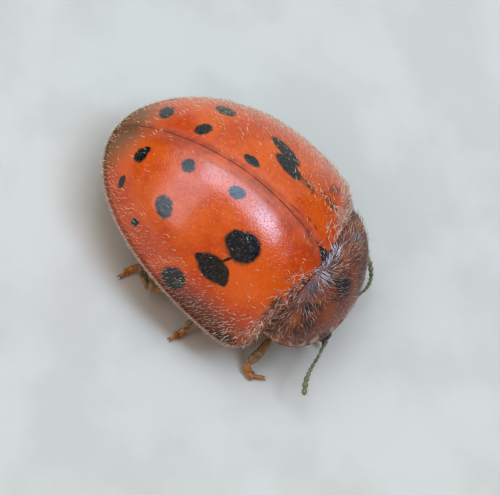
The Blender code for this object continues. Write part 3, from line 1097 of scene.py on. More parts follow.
@dataclass(frozen=True)
class ShieldChitin(Finish):
    """The pronotum's cuticle: thin, rusty and paler at its margin.

    It gives the eye a rust-brown plate with dark clouds, one green-black spot ahead of its
    middle, and a pale broken border with an olive-brown band inside it.
    """

    patch: Callable
    spot: tuple[Spot, ...]
    clouds: tuple[Spot, ...]
    rust: tuple[Spot, ...]
    pale: tuple[Spot, ...]

    def paint(self, pattern: Pattern) -> Look:
        """Paint the cuticle.

        Args:
            pattern: the masks and colours to paint with.

        Returns:
            The look, as Finish.paint gives it.
        """
        edge = pattern.from_rim()
        ragged = add(pattern.tree, "ShaderNodeMath",
                     {0: edge, 1: pattern.cloud(0.16, 0.35, 0.65, -0.035, 0.035)},
                     operation="ADD")
        wobbly = pattern.wobble(0.12, 0.04)
        rust, pale, clouds, spot = (pattern.spots(group, self.patch, wobbly)
                                    for group in (self.rust, self.pale, self.clouds, self.spot))
        colour = pattern.lay("#7A3216", "#3E180C", pattern.cloud(0.22, 0.40, 0.64))
        for top, *shares in (
                ("#9A4C20", pattern.cloud(0.06, 0.5, 0.72, 0.0, 0.6, 2.0)),
                ("#8E4616", pattern.fade(rust, 0.4, 1.3, 0.62)),
                ("#8E6C6A", pattern.fade(pale, 0.4, 1.3, 0.65)),
                ("#24120A", pattern.fade(clouds, 0.4, 1.35, 0.72)),
                ("#0C110E", pattern.fade(spot, 0.75, 1.15, 0.95)),
                ("#5C3A16", pattern.fade(ragged, 0.08, 0.12, 0.0, 0.6),
                 pattern.fade(ragged, 0.14, 0.24)),
                ("#BC9684", pattern.fade(ragged, 0.045, 0.085, 0.85),
                 pattern.cloud(0.14, 0.42, 0.58, 0.10)),
                ("#3A1C10", pattern.fade(edge, 0.010, 0.026, 0.9))):
            colour = pattern.lay(colour, top, *shares)
        pits = pattern.fade(pattern.cells(0.04), 0.05, 0.45, 0.0, 1.0)
        return ({"Base Color": colour, "Roughness": 0.48, "IOR": 1.5,
                 "Subsurface Weight": 0.15, "Subsurface Radius": (1.0, 0.4, 0.15),
                 "Subsurface Scale": 0.06 * MM},
                [(pattern.noise(0.2), 0.008), (pits, 0.003)])


@dataclass(frozen=True)
class HairKeratin(Finish):
    """Fine setae: pale, smooth and glossy.

    They give the eye bright silvery flecks, warmer in patches and near the skin's marks.
    """

    colour: str
    warm: str = "#9A6848"
    paint_group: bpy.types.ShaderNodeTree | None = None
    show_through: float = 0.08
    patch: Callable | None = None
    silvery: tuple[Spot, ...] = ()
    silver: str = "#D6D0D6"

    def paint(self, pattern: Pattern) -> Look:
        """Paint the hairs.

        Args:
            pattern: the masks and colours to paint with.

        Returns:
            The look, as Finish.paint gives it.
        """
        colour = pattern.lay(self.colour, self.warm, pattern.cloud(0.07, 0.38, 0.60, 0.0, 0.8))
        if self.silvery:
            white = pattern.spots(self.silvery, self.patch, pattern.wobble(0.1, 0.04))
            colour = pattern.lay(colour, self.silver, pattern.fade(white, 0.7, 1.3, 0.9))
        if self.paint_group is not None:
            skin = add(pattern.tree, "ShaderNodeGroup", node_tree=self.paint_group)
            colour = pattern.lay(colour, skin, self.show_through)
        return {"Base Color": colour, "Roughness": 0.38, "IOR": 1.55}, []


@dataclass(frozen=True)
class FacetGlass(Finish):
    """The clear lenses of a compound eye over black pigment: wet-looking and deep black."""

    black: str = "#060607"
    brown: str = "#1C1210"

    def paint(self, pattern: Pattern) -> Look:
        """Paint the lenses.

        Args:
            pattern: the masks and colours to paint with.

        Returns:
            The look, as Finish.paint gives it.
        """
        colour = pattern.lay(self.black, self.brown, pattern.cloud(0.1, 0.4, 0.7, 0.0, 0.6))
        return ({"Base Color": colour, "Roughness": 0.12, "IOR": 1.5, "Coat Weight": 0.6,
                 "Coat Roughness": 0.05}, [(pattern.noise(0.03), 0.0006)])


@dataclass(frozen=True)
class PaperFloor(Finish):
    """Matt studio paper: a plain pale ground with a barely visible tooth."""

    light: str = "#CEC1B0"
    dark: str = "#C6B9A8"

    def paint(self, pattern: Pattern) -> Look:
        """Paint the paper.

        Args:
            pattern: the masks and colours to paint with.

        Returns:
            The look, as Finish.paint gives it.
        """
        tooth = pattern.noise(1.5, 4.0)
        colour = pattern.lay(self.light, self.dark, pattern.fade(tooth, 0.4, 0.6, 0.0, 1.0))
        return {"Base Color": colour, "Roughness": 0.9}, [(tooth, 0.004)]


# --- hairs ----------------------------------------------------------------------------------

@dataclass(frozen=True)
class HairStyle:
    """How a coat grows.

    Attributes:
        spacing_mm: the least distance between two hairs.
        length_mm: the length of a middling hair.
        slimness: a hair's radius as a share of its length.
        lift: degrees that a hair stands off the skin.
        scatter: how far hairs stray from their common lie, as a share.
        seed: fixes the random draws.
    """

    spacing_mm: float
    length_mm: float
    slimness: float = 0.045
    lift: float = 24.0
    scatter: float = 0.25
    seed: int = 1


class PieceTree:
    """A Geometry Nodes tree with named inputs, which makes plain pieces."""

    def __init__(self, name: str, **kinds: str) -> None:
        """Start a tree on a bed of points or faces.

        Args:
            name: the tree's name.
            **kinds: the type of each further input.
        """
        self.tree = bpy.data.node_groups.new(name, "GeometryNodeTree")
        face = self.tree.interface
        face.new_socket("Bed", in_out="INPUT", socket_type="NodeSocketGeometry")
        self.keys = {key: face.new_socket(key, in_out="INPUT",
                                          socket_type=f"NodeSocket{kind}").identifier
                     for key, kind in kinds.items()}
        face.new_socket("Piece", in_out="OUTPUT", socket_type="NodeSocketGeometry")
        self.inputs = add(self.tree, "NodeGroupInput").node.outputs

    def mark(self, name: str, data_type: str = "FLOAT_VECTOR") -> Socket:
        """A number or vector that each point carries."""
        return add(self.tree, "GeometryNodeInputNamedAttribute", {"Name": name}, "Attribute",
                   data_type=data_type)

    def keep(self, geometry: Socket, name: str, value: Socket,
             data_type: str = "FLOAT_VECTOR", domain: str = "POINT") -> Socket:
        """Give a geometry a mark.

        Args:
            geometry: what gets it.
            name: the mark's name.
            value: its value.
            data_type: the type of the value.
            domain: what carries it.

        Returns:
            The geometry with the mark.
        """
        inputs = {"Geometry": geometry, "Name": name, "Value": value}
        return add(self.tree, "GeometryNodeStoreNamedAttribute", inputs, data_type=data_type,
                   domain=domain)

    def finish(self, geometry: Socket, material: str, unwrap: Socket | None = None) -> None:
        """End the tree with real, smooth faces in their finish.

        Args:
            geometry: the geometry so far.
            material: the name of the material's input.
            unwrap: places on the bake's map, where the piece needs one.
        """
        real = add(self.tree, "GeometryNodeRealizeInstances", {0: geometry})
        if unwrap is not None:
            real = self.keep(real, "OFBake", unwrap, "FLOAT2", "CORNER")
        soft = add(self.tree, "GeometryNodeSetShadeSmooth", {0: real})
        dressed = add(self.tree, "GeometryNodeSetMaterial",
                      {"Geometry": soft, "Material": self.inputs[material]})
        add(self.tree, "NodeGroupOutput", {0: dressed})

    def run(self, name: str, bed: Mesh, **values: object) -> Mesh:
        """Make one piece.

        Args:
            name: the piece's name.
            bed: the mesh that the tree starts from.
            **values: a value for each of the further inputs.

        Returns:
            The piece as a plain mesh, without the marks it was made with.
        """
        holder = bpy.data.objects.new(f"{name}_bed", bed)
        bpy.context.collection.objects.link(holder)
        modifier = holder.modifiers.new(name, "NODES")
        modifier.node_group = self.tree
        for key, value in values.items():
            modifier[self.keys[key]] = value
        graph = bpy.context.evaluated_depsgraph_get()
        mesh = bpy.data.meshes.new_from_object(holder.evaluated_get(graph))
        mesh.name = name
        bpy.data.objects.remove(holder)
        drop_marks(mesh, SCRATCH_MARKS)
        return mesh


class Coat(PieceTree):
    """Grows short tapered hairs on a skin."""

    PATCH = 0.003            # how much of the bake's map one hair takes
    CROWDING = 1.6           # hairs tried on each square of the least spacing
    TAPER = 0.88             # how much thinner a hair's tip is than its root
    SPREAD = (0.65, 1.3)     # the shortest and longest hairs, as shares of the middling one
    SPREAD_SEED = 7

    def __init__(self) -> None:
        """Scatter points on the skin, set a hair on each, and lay out the bake's map."""
        super().__init__("coat_of_hairs", Spacing="Float", Length="Float", Slimness="Float",
                         Lift="Float", Scatter="Float", Seed="Int", Hair="Material")
        tree, inputs = self.tree, self.inputs
        square = add(tree, "ShaderNodeMath", {0: inputs["Spacing"], 1: 2.0}, operation="POWER")
        density = add(tree, "ShaderNodeMath", {0: self.CROWDING, 1: square},
                      operation="DIVIDE")
        points = add(tree, "GeometryNodeDistributePointsOnFaces",
                     {"Mesh": inputs["Bed"], "Distance Min": inputs["Spacing"],
                      "Density Max": density, "Density Factor": self.mark("cover", "FLOAT"),
                      "Seed": inputs["Seed"]}, "Points", distribute_method="POISSON")
        normal = points.node.outputs["Normal"]
        rooted = self.keep(points, "root", self.mark("unwrap"))
        turned = add(tree, "FunctionNodeAxesToRotation", {0: self.heading(normal), 1: normal},
                     primary_axis="Z", secondary_axis="X")
        spread = add(tree, "FunctionNodeRandomValue",
                     {2: self.SPREAD[0], 3: self.SPREAD[1], "Seed": self.SPREAD_SEED}, 1,
                     data_type="FLOAT")
        grown = add(tree, "ShaderNodeMath", {0: spread, 1: self.mark("growth", "FLOAT")},
                    operation="MULTIPLY")
        length = add(tree, "ShaderNodeMath", {0: inputs["Length"], 1: grown},
                     operation="MULTIPLY")
        hairs = add(tree, "GeometryNodeInstanceOnPoints",
                    {"Points": rooted, "Instance": self.strand(), "Rotation": turned,
                     "Scale": length})
        x = add(tree, "ShaderNodeSeparateXYZ", {0: self.mark("strand")}, "X")
        flat = add(tree, "ShaderNodeCombineXYZ", {0: x, 1: x.node.outputs["Z"]})
        unwrap = add(tree, "ShaderNodeVectorMath",
                     {0: flat, 1: [self.PATCH] * 3, 2: self.mark("root")},
                     operation="MULTIPLY_ADD")
        self.finish(hairs, "Hair", unwrap)

    def heading(self, normal: Socket) -> Socket:
        """Where each hair points: along its lie, raised off the skin and a little astray.

        Args:
            normal: the skin's normal.

        Returns:
            The direction, at any length.
        """
        stray = add(self.tree, "FunctionNodeRandomValue",
                    {0: [-1.0] * 3, 1: [1.0] * 3, "Seed": self.inputs["Seed"]},
                    data_type="FLOAT_VECTOR")
        heading = add(self.tree, "ShaderNodeVectorMath",
                      {0: stray, 1: self.inputs["Scatter"]}, operation="MULTIPLY")
        for part, share_of in ((normal, "SINE"), (self.mark("lie"), "COSINE")):
            share = add(self.tree, "ShaderNodeMath", {0: self.inputs["Lift"]},
                        operation=share_of)
            heading = add(self.tree, "ShaderNodeVectorMath", {0: part, 1: share, 2: heading},
                          operation="MULTIPLY_ADD")
        return heading

    def strand(self) -> Socket:
        """Make one hair that rises a little and bends back to the skin.

        Returns:
            The hair, of length 1.
        """
        tree = self.tree
        line = add(tree, "GeometryNodeCurveQuadraticBezier",
                   {"Resolution": 4, "Start": (-0.02, 0.0, 0.0), "Middle": (0.13, 0.02, 0.5),
                    "End": (-0.02, 0.0, 1.0)})
        factor = add(tree, "GeometryNodeSplineParameter", out="Factor")
        taper = add(tree, "ShaderNodeMath", {0: factor, 1: -self.TAPER, 2: 1.0},
                    operation="MULTIPLY_ADD")
        tapered = add(tree, "GeometryNodeSetCurveRadius", {"Curve": line, "Radius": taper})
        ring = add(tree, "GeometryNodeCurvePrimitiveCircle",
                   {"Resolution": 3, "Radius": self.inputs["Slimness"]}, "Curve")
        hair = add(tree, "GeometryNodeCurveToMesh",
                   {"Curve": tapered, "Profile Curve": ring, "Scale": taper,
                    "Fill Caps": True})
        return self.keep(hair, "strand", add(tree, "GeometryNodeInputPosition"))

    def grow(self, name: str, skin: Mesh, style: HairStyle, material: Material) -> Piece:
        """Grow a coat as one plain piece.

        Args:
            name: the piece's name.
            skin: a mesh with the marks lie, cover and growth, and a map called unwrap.
            style: how the hairs grow.
            material: the hairs' finish.

        Returns:
            The coat.
        """
        mesh = self.run(name, skin, Spacing=style.spacing_mm * MM, Length=style.length_mm * MM,
                        Slimness=style.slimness, Lift=math.radians(style.lift),
                        Scatter=style.scatter, Seed=style.seed, Hair=material)
        rest_on_floor(mesh)
        return link_piece(name, mesh)


def rest_on_floor(mesh: Mesh, level_mm: float = 0.008) -> None:
    """Bend what would go under the floor flat against it, with no face lost.

    Args:
        mesh: the mesh.
        level_mm: where the bending starts.
    """
    points = np.empty(len(mesh.vertices) * 3, np.float32)
    mesh.vertices.foreach_get("co", points)
    level = level_mm * MM
    height = points[2::3]
    low = height < level
    height[low] = level * np.exp(height[low] / level - 1.0)
    mesh.vertices.foreach_set("co", points)


def link_piece(name: str, mesh: Mesh, material: Material | None = None) -> Piece:
    """Put a mesh into the scene at the origin.

    Args:
        name: the object's name.
        mesh: the mesh.
        material: its finish, where it has none yet.

    Returns:
        The object.
    """
    if material is not None:
        mesh.materials.append(material)
    piece = bpy.data.objects.new(name, mesh)
    bpy.context.collection.objects.link(piece)
    return piece


def dress(piece: Piece, slot: Slot, *nodes: str) -> Piece:
    """Hang a finished piece under the root body, hide the solids that it stands for and log its
    triangles.

    Args:
        piece: the piece.
        slot: the record's slot; not used.
        *nodes: the solids that it stands for.

    Returns:
        The piece.
    """
    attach(piece, "root")
    if nodes:
        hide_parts(*nodes)
    triangles = sum(len(face.vertices) - 2 for face in piece.data.polygons)
    log.info("%s: %d triangles", piece.name, triangles)
    return piece


def skin_marks(shape: Shape, lie: np.ndarray, cover: np.ndarray | float = 1.0,
               growth: np.ndarray | float = 1.0) -> Shape:
    """Give a shape the marks that a coat reads.

    Args:
        shape: the shape.
        lie: which way the hairs lie, for each point or for all.
        cover: how thickly they grow, from 0 to 1.
        growth: their length as a share of the style's.

    Returns:
        The same shape.
    """
    count = len(shape.points)
    shape.marks = {"lie": np.broadcast_to(lie, (count, 3)).copy(),
                   "cover": np.broadcast_to(cover, count).copy(),
                   "growth": np.broadcast_to(growth, count).copy()}
    return shape


# --- the beetle -----------------------------------------------------------------------------

@dataclass(frozen=True)
class Workshop:
    """What every part of the beetle is built with."""

    anchor: Anchor
    dome: Dome
    coat: Coat

    def piece(self, name: str, shape: Shape, material: Material, slot: Slot,
              *nodes: str) -> Piece:
        """Args:
            name: the piece's name.
            shape: its shape.
            material: its finish.
            slot: the record's slot.
            *nodes: the solids that it stands for.

        Returns:
            The piece.
        """
        mesh = shape.mesh(name, self.anchor)
        drop_marks(mesh, SKIN_MARKS)
        return dress(link_piece(name, mesh, material), slot, *nodes)

    def fur(self, name: str, shape: Shape, style: HairStyle, material: Material, slot: Slot,
            inside: Triple | None = None) -> Piece:
        """Args:
            name: the coat's name.
            shape: the skin, with its marks.
            style: how the hairs grow.
            material: the hairs' finish.
            slot: the record's slot.
            inside: a point behind an open skin.

        Returns:
            The coat.
        """
        skin = shape.mesh(name + "_skin", self.anchor, inside)
        return dress(self.coat.grow(name, skin, style, material), slot)


@dataclass
class WingCases:
    """The two elytra: thin arched shells that meet along the middle line."""

    shop: Workshop
    rows: int = 116
    columns: int = 84
    thickness: float = 0.06
    suture_gap: float = 0.0008
    notch_length: float = 0.17
    notch_half_width: float = 0.10
    suture_bead: float = 0.007
    rim_bead: float = 0.011
    rim_groove: float = 0.012
    shoulder_bump: float = 0.03
    flange: Pair = (0.22, 0.09)
    hairy_below: dict[Side, Pair] = field(
        default_factory=lambda: {Side.RIGHT: (14.0, 38.0), Side.LEFT: (32.0, 82.0)})
    fuzzy_between: dict[Side, Pair] = field(
        default_factory=lambda: {Side.RIGHT: (8.0, 82.0), Side.LEFT: (22.0, 84.0)})
    hairs: HairStyle = HairStyle(0.038, 0.066, slimness=0.088, lift=24.0, scatter=0.55,
                                 seed=11)
    fuzz: HairStyle = HairStyle(0.021, 0.090, slimness=0.060, lift=28.0, scatter=0.75,
                                seed=13)
    fringe: HairStyle = HairStyle(0.020, 0.040, slimness=0.080, lift=12.0, scatter=0.35,
                                  seed=17)

    def build(self) -> None:
        """Build both wing cases and their coats."""
        anchor, dome = self.shop.anchor, self.shop.dome
        for side in Side:
            name = f"elytron_{side.word}"
            paint = WingCasePaint(side, dome, anchor).group()
            cuticle = WingCaseChitin(paint, dome.rim_level).make(f"{name}_cuticle", anchor)
            self.shop.piece(f"{name}_shell", self.shell(side), cuticle, Slot.ELYTRA, name)
            for part, skin, style, hair in (
                    ("", self.skin(side), self.hairs, HairKeratin("#F6DCB2", "#C08E60", paint)),
                    ("base_", self.base_skin(side), self.fuzz, HairKeratin("#E4CCB4", "#7E5034")),
                    ("rim_", self.rim_skin(side), self.fringe, HairKeratin("#F2EADC", "#C4AE98"))):
                setae = hair.make(f"{name}_{part}setae", anchor)
                self.shop.fur(f"{name}_{part}coat", skin, style, setae, Slot.ELYTRA, UNDER_WINGS)

    def angles(self) -> np.ndarray:
        """The columns' angles, from the suture to the rim and closer together at both."""
        even = np.linspace(0.0, 1.0, self.columns)
        return (1.0 - 0.5 * even - 0.5 * cosine_steps(self.columns)) * np.pi / 2.0

    def grid(self, dome: Dome, side: Side) -> np.ndarray:
        """Points of one wing case's surface.

        Args:
            dome: the arch that it follows.
            side: which wing case.

        Returns:
            Rows from the base to the tail, each from the suture to the rim.
        """
        y = cosine_steps(self.rows)[:, None] * dome.length
        angle = self.angles()[None]
        notch = self.notch_half_width * np.maximum(0.0, 1.0 - y / self.notch_length)
        start = self.suture_gap + notch
        width = np.maximum(dome.width_at(y) - start, 0.0)
        x, z = arch(width, dome.rim_at(y), dome.top_at(y), angle, dome.arch_power)
        return stacked(side.value * (x + start), dome.bowed(y, angle), z)

    def outside(self, side: Side) -> tuple[np.ndarray, np.ndarray]:
        """The outer surface with its relief.

        Args:
            side: which wing case.

        Returns:
            Its grid and each point's distance from the rim.
        """
        grid = self.grid(self.shop.dome, side)
        edge = edge_distances(grid, grid[:, -1])
        seam = run_lengths(grid, 1)
        y = grid[..., 1]
        angle = np.degrees(self.angles())[None]
        relief = self.suture_bead * (1.0 - smooth_step(seam, 0.015, 0.10))
        relief -= 0.4 * self.suture_bead * bell(seam, 0.10, 0.05)
        relief += self.rim_bead * bell(edge, 0.012, 0.02)
        relief -= self.rim_groove * bell(edge, 0.065, 0.028)
        relief += self.shoulder_bump * bell(y, 0.30, 0.2) * bell(angle, 47.0, 13.0)
        relief -= 0.012 * (1.0 - smooth_step(y, -0.06, 0.04))
        return grid + grid_normals(grid, UNDER_WINGS) * relief[..., None], edge

    def away(self, rim: np.ndarray, side: Side) -> np.ndarray:
        """Level directions that point out from the rim."""
        return unit(np.cross(unit(np.gradient(rim, axis=0)), UP) * side.value)

    def shell(self, side: Side) -> Shape:
        """One wing case with a rounded rim and a folded-in flange.

        Args:
            side: which wing case.

        Returns:
            The closed shell.
        """
        dome, t = self.shop.dome, self.thickness
        outer, edge = self.outside(side)
        thinner = replace(dome, length=dome.length - t, half_width=dome.half_width - t,
                          height=dome.height - t)
        inner = self.grid(thinner, side)[:, ::-1]
        rim = outer[:, -1]
        away = self.away(rim, side)
        reach = np.linspace(*self.flange, self.rows)[:, None]
        bead = [rim + away * a - UP * b
                for a, b in ((0.010, 0.007), (0.015, 0.020), (0.010, 0.034), (-0.008, 0.042))]
        under = [rim - away * reach * s - UP * 0.045 for s in (0.15, 0.4, 0.7, 0.93)]
        above = [rim - away * np.maximum(reach * s, t) - UP * 0.020
                 for s in (0.97, 0.85, 0.72, 0.6, 0.5, 0.4, 0.34, 0.28)]
        rows = np.concatenate((outer, np.stack(bead + under + above, axis=1), inner), axis=1)
        shape = Shape.sheet(rows, closed=True, ends=Ends.STRIP)
        marks = np.ones(rows.shape[:2])
        marks[:, :self.columns] = edge
        marks[:, self.columns:self.columns + len(bead)] = 0.0
        shape.marks = {"edge": marks.ravel()}
        return shape

    def skin(self, side: Side) -> Shape:
        """The skin of the coat, which is thicker at the flank, the base and the tail.

        Args:
            side: which wing case.

        Returns:
            The open skin.
        """
        grid, edge = self.outside(side)
        angle = np.degrees(self.angles())[None]
        y = grid[..., 1]
        down = 0.55 * (1.0 - np.sin(np.radians(angle)))
        lie = combed(stacked(0.25 * side.value * down, 1.0, -down),
                     grid_normals(grid, UNDER_WINGS))
        flank = 1.0 - smooth_step(angle, *self.hairy_below[side])
        base = 1.0 - smooth_step(y, 0.15, 0.75)
        tail = smooth_step(y, 2.3, 2.75)
        fringe = 1.0 - smooth_step(edge, 0.06, 0.16)
        streak = bell(angle, 67.0, 6.0) * (1.0 - smooth_step(y, 0.75, 1.05))
        streak *= 0.9 if side is Side.LEFT else 0.0
        thick = stacked(flank, 0.12 * base, 0.22 * tail, fringe, streak).max(axis=-1)
        cover = (0.04 + 0.96 * thick) * smooth_step(edge, 0.0, 0.03)
        for station, bearing, share, reach in ((1.33, 13.3, 0.6, 0.15), (0.24, 7.0, 0.8, 0.14)):
            centre = self.shop.dome.patch(Spot(station, bearing, reach, reach), side)[3]
            away = np.linalg.norm(grid - centre, axis=-1)
            cover *= 1.0 - share * np.exp(-(away / reach) ** 4)
        growth = 0.75 + 0.45 * base
        return skin_marks(Shape.sheet(grid), lie.reshape(-1, 3), cover.ravel(), growth.ravel())

    def rim_skin(self, side: Side) -> Shape:
        """A narrow band along the rim whose pale hairs stand out as a fringe.

        Args:
            side: which wing case.

        Returns:
            The open band.
        """
        outer, _ = self.outside(side)
        rim = outer[:, -1]
        away = self.away(rim, side)
        bead = [rim + away * a - UP * b for a, b in ((0.010, 0.007), (0.015, 0.020))]
        band = np.stack((outer[:, -3], outer[:, -2], rim, *bead), axis=1)
        lie = np.broadcast_to(unit(away + (0.0, 0.45, -0.15))[:, None], band.shape)
        return skin_marks(Shape.sheet(band), lie.reshape(-1, 3))

    def base_skin(self, side: Side) -> Shape:
        """The skin of the brown fuzz along the base, where the shield's hairs reach over.

        Args:
            side: which wing case.

        Returns:
            The open skin.
        """
        grid, edge = self.outside(side)
        angle = np.degrees(self.angles())[None]
        y = grid[..., 1]
        low, high = self.fuzzy_between[side]
        between = smooth_step(angle, low, low + 12.0)
        between = between * (1.0 - smooth_step(angle, high - 14.0, high))
        ragged = 0.05 * np.sin(angle * 0.55) + 0.03 * np.sin(angle * 1.7)
        cover = (1.0 - smooth_step(y + ragged, 0.03, 0.21)) * between * (edge > 0.02)
        lie = unit(np.array((0.5 * side.value, 0.8, -0.3)))
        return skin_marks(Shape.sheet(grid), lie, cover.ravel())


@dataclass
class Shield:
    """The pronotum: a thin arched plate with a pale broken border."""

    shop: Workshop
    length: float = 0.79
    half_width: float = 1.088
    thickness: float = 0.05
    gap: float = 0.004
    crest: float = 0.82
    edge_back: float = 0.25
    edge_front: float = 0.06
    power: float = 2.1
    rows: int = 60
    columns: int = 120
    spot: Spot = Spot(-0.472, 86.2, 0.185, 0.12, 8.0)
    clouds: tuple[Spot, ...] = (
        Spot(-0.42, 38.6, 0.13, 0.08, 4.0), Spot(-0.235, 52.8, 0.12, 0.07, 32.0),
        Spot(-0.60, 118.0, 0.10, 0.16), Spot(-0.42, 138.0, 0.13, 0.08, 4.0),
        Spot(-0.235, 126.0, 0.12, 0.07, -32.0), Spot(-0.22, 83.0, 0.14, 0.12, -60.0),
        Spot(-0.06, 89.0, 0.13, 0.11, 70.0), Spot(-0.10, 67.0, 0.13, 0.10, -60.0))
    rust: tuple[Spot, ...] = (
        Spot(-0.55, 59.0, 0.17, 0.11), Spot(-0.19, 139.0, 0.16, 0.06, 88.0),
        Spot(-0.20, 40.0, 0.24, 0.07, -79.0), Spot(-0.23, 103.0, 0.09, 0.065, -59.0),
        Spot(-0.33, 63.0, 0.12, 0.06, 20.0))
    pale: tuple[Spot, ...] = (Spot(-0.23, 126.0, 0.13, 0.08, 88.0),)
    silver: tuple[Spot, ...] = (
        Spot(-0.09, 79.0, 0.13, 0.060, -60.0), Spot(-0.04, 89.0, 0.08, 0.060, 70.0),
        Spot(-0.06, 99.5, 0.11, 0.055, -40.0), Spot(-0.29, 49.5, 0.075, 0.035, 28.0),
        Spot(-0.23, 126.0, 0.07, 0.045, 88.0))
    strands: Spot = Spot(-0.16, 38.0, 0.26, 0.09, -79.0)
    whorl: Pair = (-0.11, -0.06)
    hairs: HairStyle = HairStyle(0.034, 0.115, slimness=0.040, lift=20.0, scatter=0.48,
                                 seed=23)
    clump: HairStyle = HairStyle(0.028, 0.150, slimness=0.034, lift=30.0, scatter=0.45,
                                 seed=29)

    def point(self, y: np.ndarray, angle: np.ndarray, shrink: float = 0.0) -> np.ndarray:
        """Points of the shield.

        Args:
            y: their stations.
            angle: where on the arch, from 0 at the right edge to half a turn at the left.
            shrink: how far inside the outer surface, in millimetres.

        Returns:
            The points.
        """
        dome = self.shop.dome
        t = np.clip(-y / (self.length - shrink), 0.0, 1.0)
        width = (self.half_width - shrink) * (1.0 - t ** self.power) ** (1.0 / self.power)
        low = dome.rim_level + self.edge_back * (1.0 - t) + self.edge_front * t
        floor = dome.rim_level + self.edge_front
        high = floor + (dome.rim_level + self.crest - shrink - floor) * np.sqrt(1.0 - t ** 2)
        x, z = arch(width, low, np.maximum(high, low), angle, dome.arch_power)
        return stacked(-x, dome.bowed(y, angle), z)

    def grid(self, shrink: float = 0.0) -> np.ndarray:
        """Points of the shield's surface.

        Args:
            shrink: how far inside the outer surface, in millimetres.

        Returns:
            Rows from the hind edge to the front, each from right to left.
        """
        share = np.sin(np.linspace(0.0, np.pi / 2.0, self.rows))[:, None]
        even = np.linspace(0.0, 1.0, self.columns)
        angle = (0.5 * even + 0.5 * cosine_steps(self.columns))[None] * np.pi
        return self.point(-self.gap - share * (self.length - shrink - self.gap), angle, shrink)

    def outside(self) -> tuple[np.ndarray, np.ndarray]:
        """The outer surface with its relief.

        Returns:
            Its grid and each point's distance from the side and front edge.
        """
        grid = self.grid()
        edge = edge_distances(grid, np.concatenate((grid[:, 0], grid[:, -1])))
        relief = 0.030 * bell(edge, 0.0, 0.045) - 0.020 * bell(edge, 0.115, 0.045)
        relief -= 0.010 * (1.0 - smooth_step(run_lengths(grid, 0), 0.0, 0.05))
        return grid + grid_normals(grid, UNDER_SHIELD) * relief[..., None], edge

    def patch(self, spot: Spot) -> np.ndarray:
        """The patch of the shield that a spot lies on."""
        return patch_axes(self.point, spot.station, math.radians(spot.bearing))

    def build(self) -> None:
        """Build the plate and its two coats."""
        anchor = self.shop.anchor
        cuticle = ShieldChitin(self.patch, (self.spot,), self.clouds, self.rust,
                               self.pale).make("pronotum_cuticle", anchor)
        outer, edge = self.outside()
        inner = self.grid(self.thickness)[:, ::-1]
        shape = Shape.sheet(np.concatenate((outer, inner), axis=1), closed=True,
                            ends=Ends.STRIP)
        shape.marks = {"edge": np.concatenate((edge, edge[:, ::-1]), axis=1).ravel()}
        self.shop.piece("pronotum_plate", shape, cuticle, Slot.PRONOTUM, "pronotum")
        hair = HairKeratin("#D2AC8E", "#6E3C22", patch=self.patch, silvery=self.silver)
        self.shop.fur("pronotum_coat", self.skin(outer, edge), self.hairs,
                      hair.make("pronotum_setae", anchor), Slot.PRONOTUM, UNDER_SHIELD)
        clumped = self.skin(outer, edge)
        near = self.closeness(outer.reshape(-1, 3), self.silver[:3])
        clumped.marks["cover"] = 1.0 - smooth_step(near, 0.55, 1.15)
        clumped.marks["growth"] = np.ones_like(near)
        white = HairKeratin("#EDEAF2", "#C9BCC0").make("pronotum_clump_setae", anchor)
        self.shop.fur("pronotum_clump_coat", clumped, self.clump, white, Slot.PRONOTUM,
                      UNDER_SHIELD)

    def closeness(self, points: np.ndarray, spots: tuple[Spot, ...]) -> np.ndarray:
        """How near points are to some ovals.

        Args:
            points: the points.
            spots: the ovals.

        Returns:
            Each point's distance from the nearest oval's middle, with 1 on its edge.
        """
        nearest = np.full(len(points), 9.0)
        for spot in spots:
            long, wide, _, centre = spot.turned(self.patch(spot))
            away = points - centre
            reach = np.hypot(away @ long / spot.half_length, away @ wide / spot.half_width)
            nearest = np.minimum(nearest, reach)
        return nearest

    def skin(self, grid: np.ndarray, edge: np.ndarray) -> Shape:
        """The open skin of a coat, whose hairs swirl out from a whorl at the hind edge.

        Args:
            grid: the outer surface.
            edge: each point's distance from the side and front edge.

        Returns:
            The skin.
        """
        x, y = grid[..., 0] - self.whorl[0], grid[..., 1] - self.whorl[1]
        behind = run_lengths(grid, 0)
        lie = unit(stacked(x, y, 0.0)) + 0.7 * unit(stacked(-y, x, 0.0))
        lie[..., 1] += 1.6 * (1.0 - smooth_step(behind, 0.02, 0.11))
        near = self.closeness(grid.reshape(-1, 3), (self.strands,)).reshape(x.shape)
        lie += 4.0 * (1.0 - smooth_step(near, 0.7, 1.2))[..., None] * (-1.0, 0.15, -0.7)
        lie = combed(lie, grid_normals(grid, UNDER_SHIELD))
        cover = (1.0 - 0.40 * smooth_step(behind, 0.12, 0.5)) * smooth_step(edge, 0.01, 0.06)
        growth = 1.0 - 0.45 * smooth_step(behind, 0.15, 0.5)
        return skin_marks(Shape.sheet(grid), lie.reshape(-1, 3), cover.ravel(), growth.ravel())


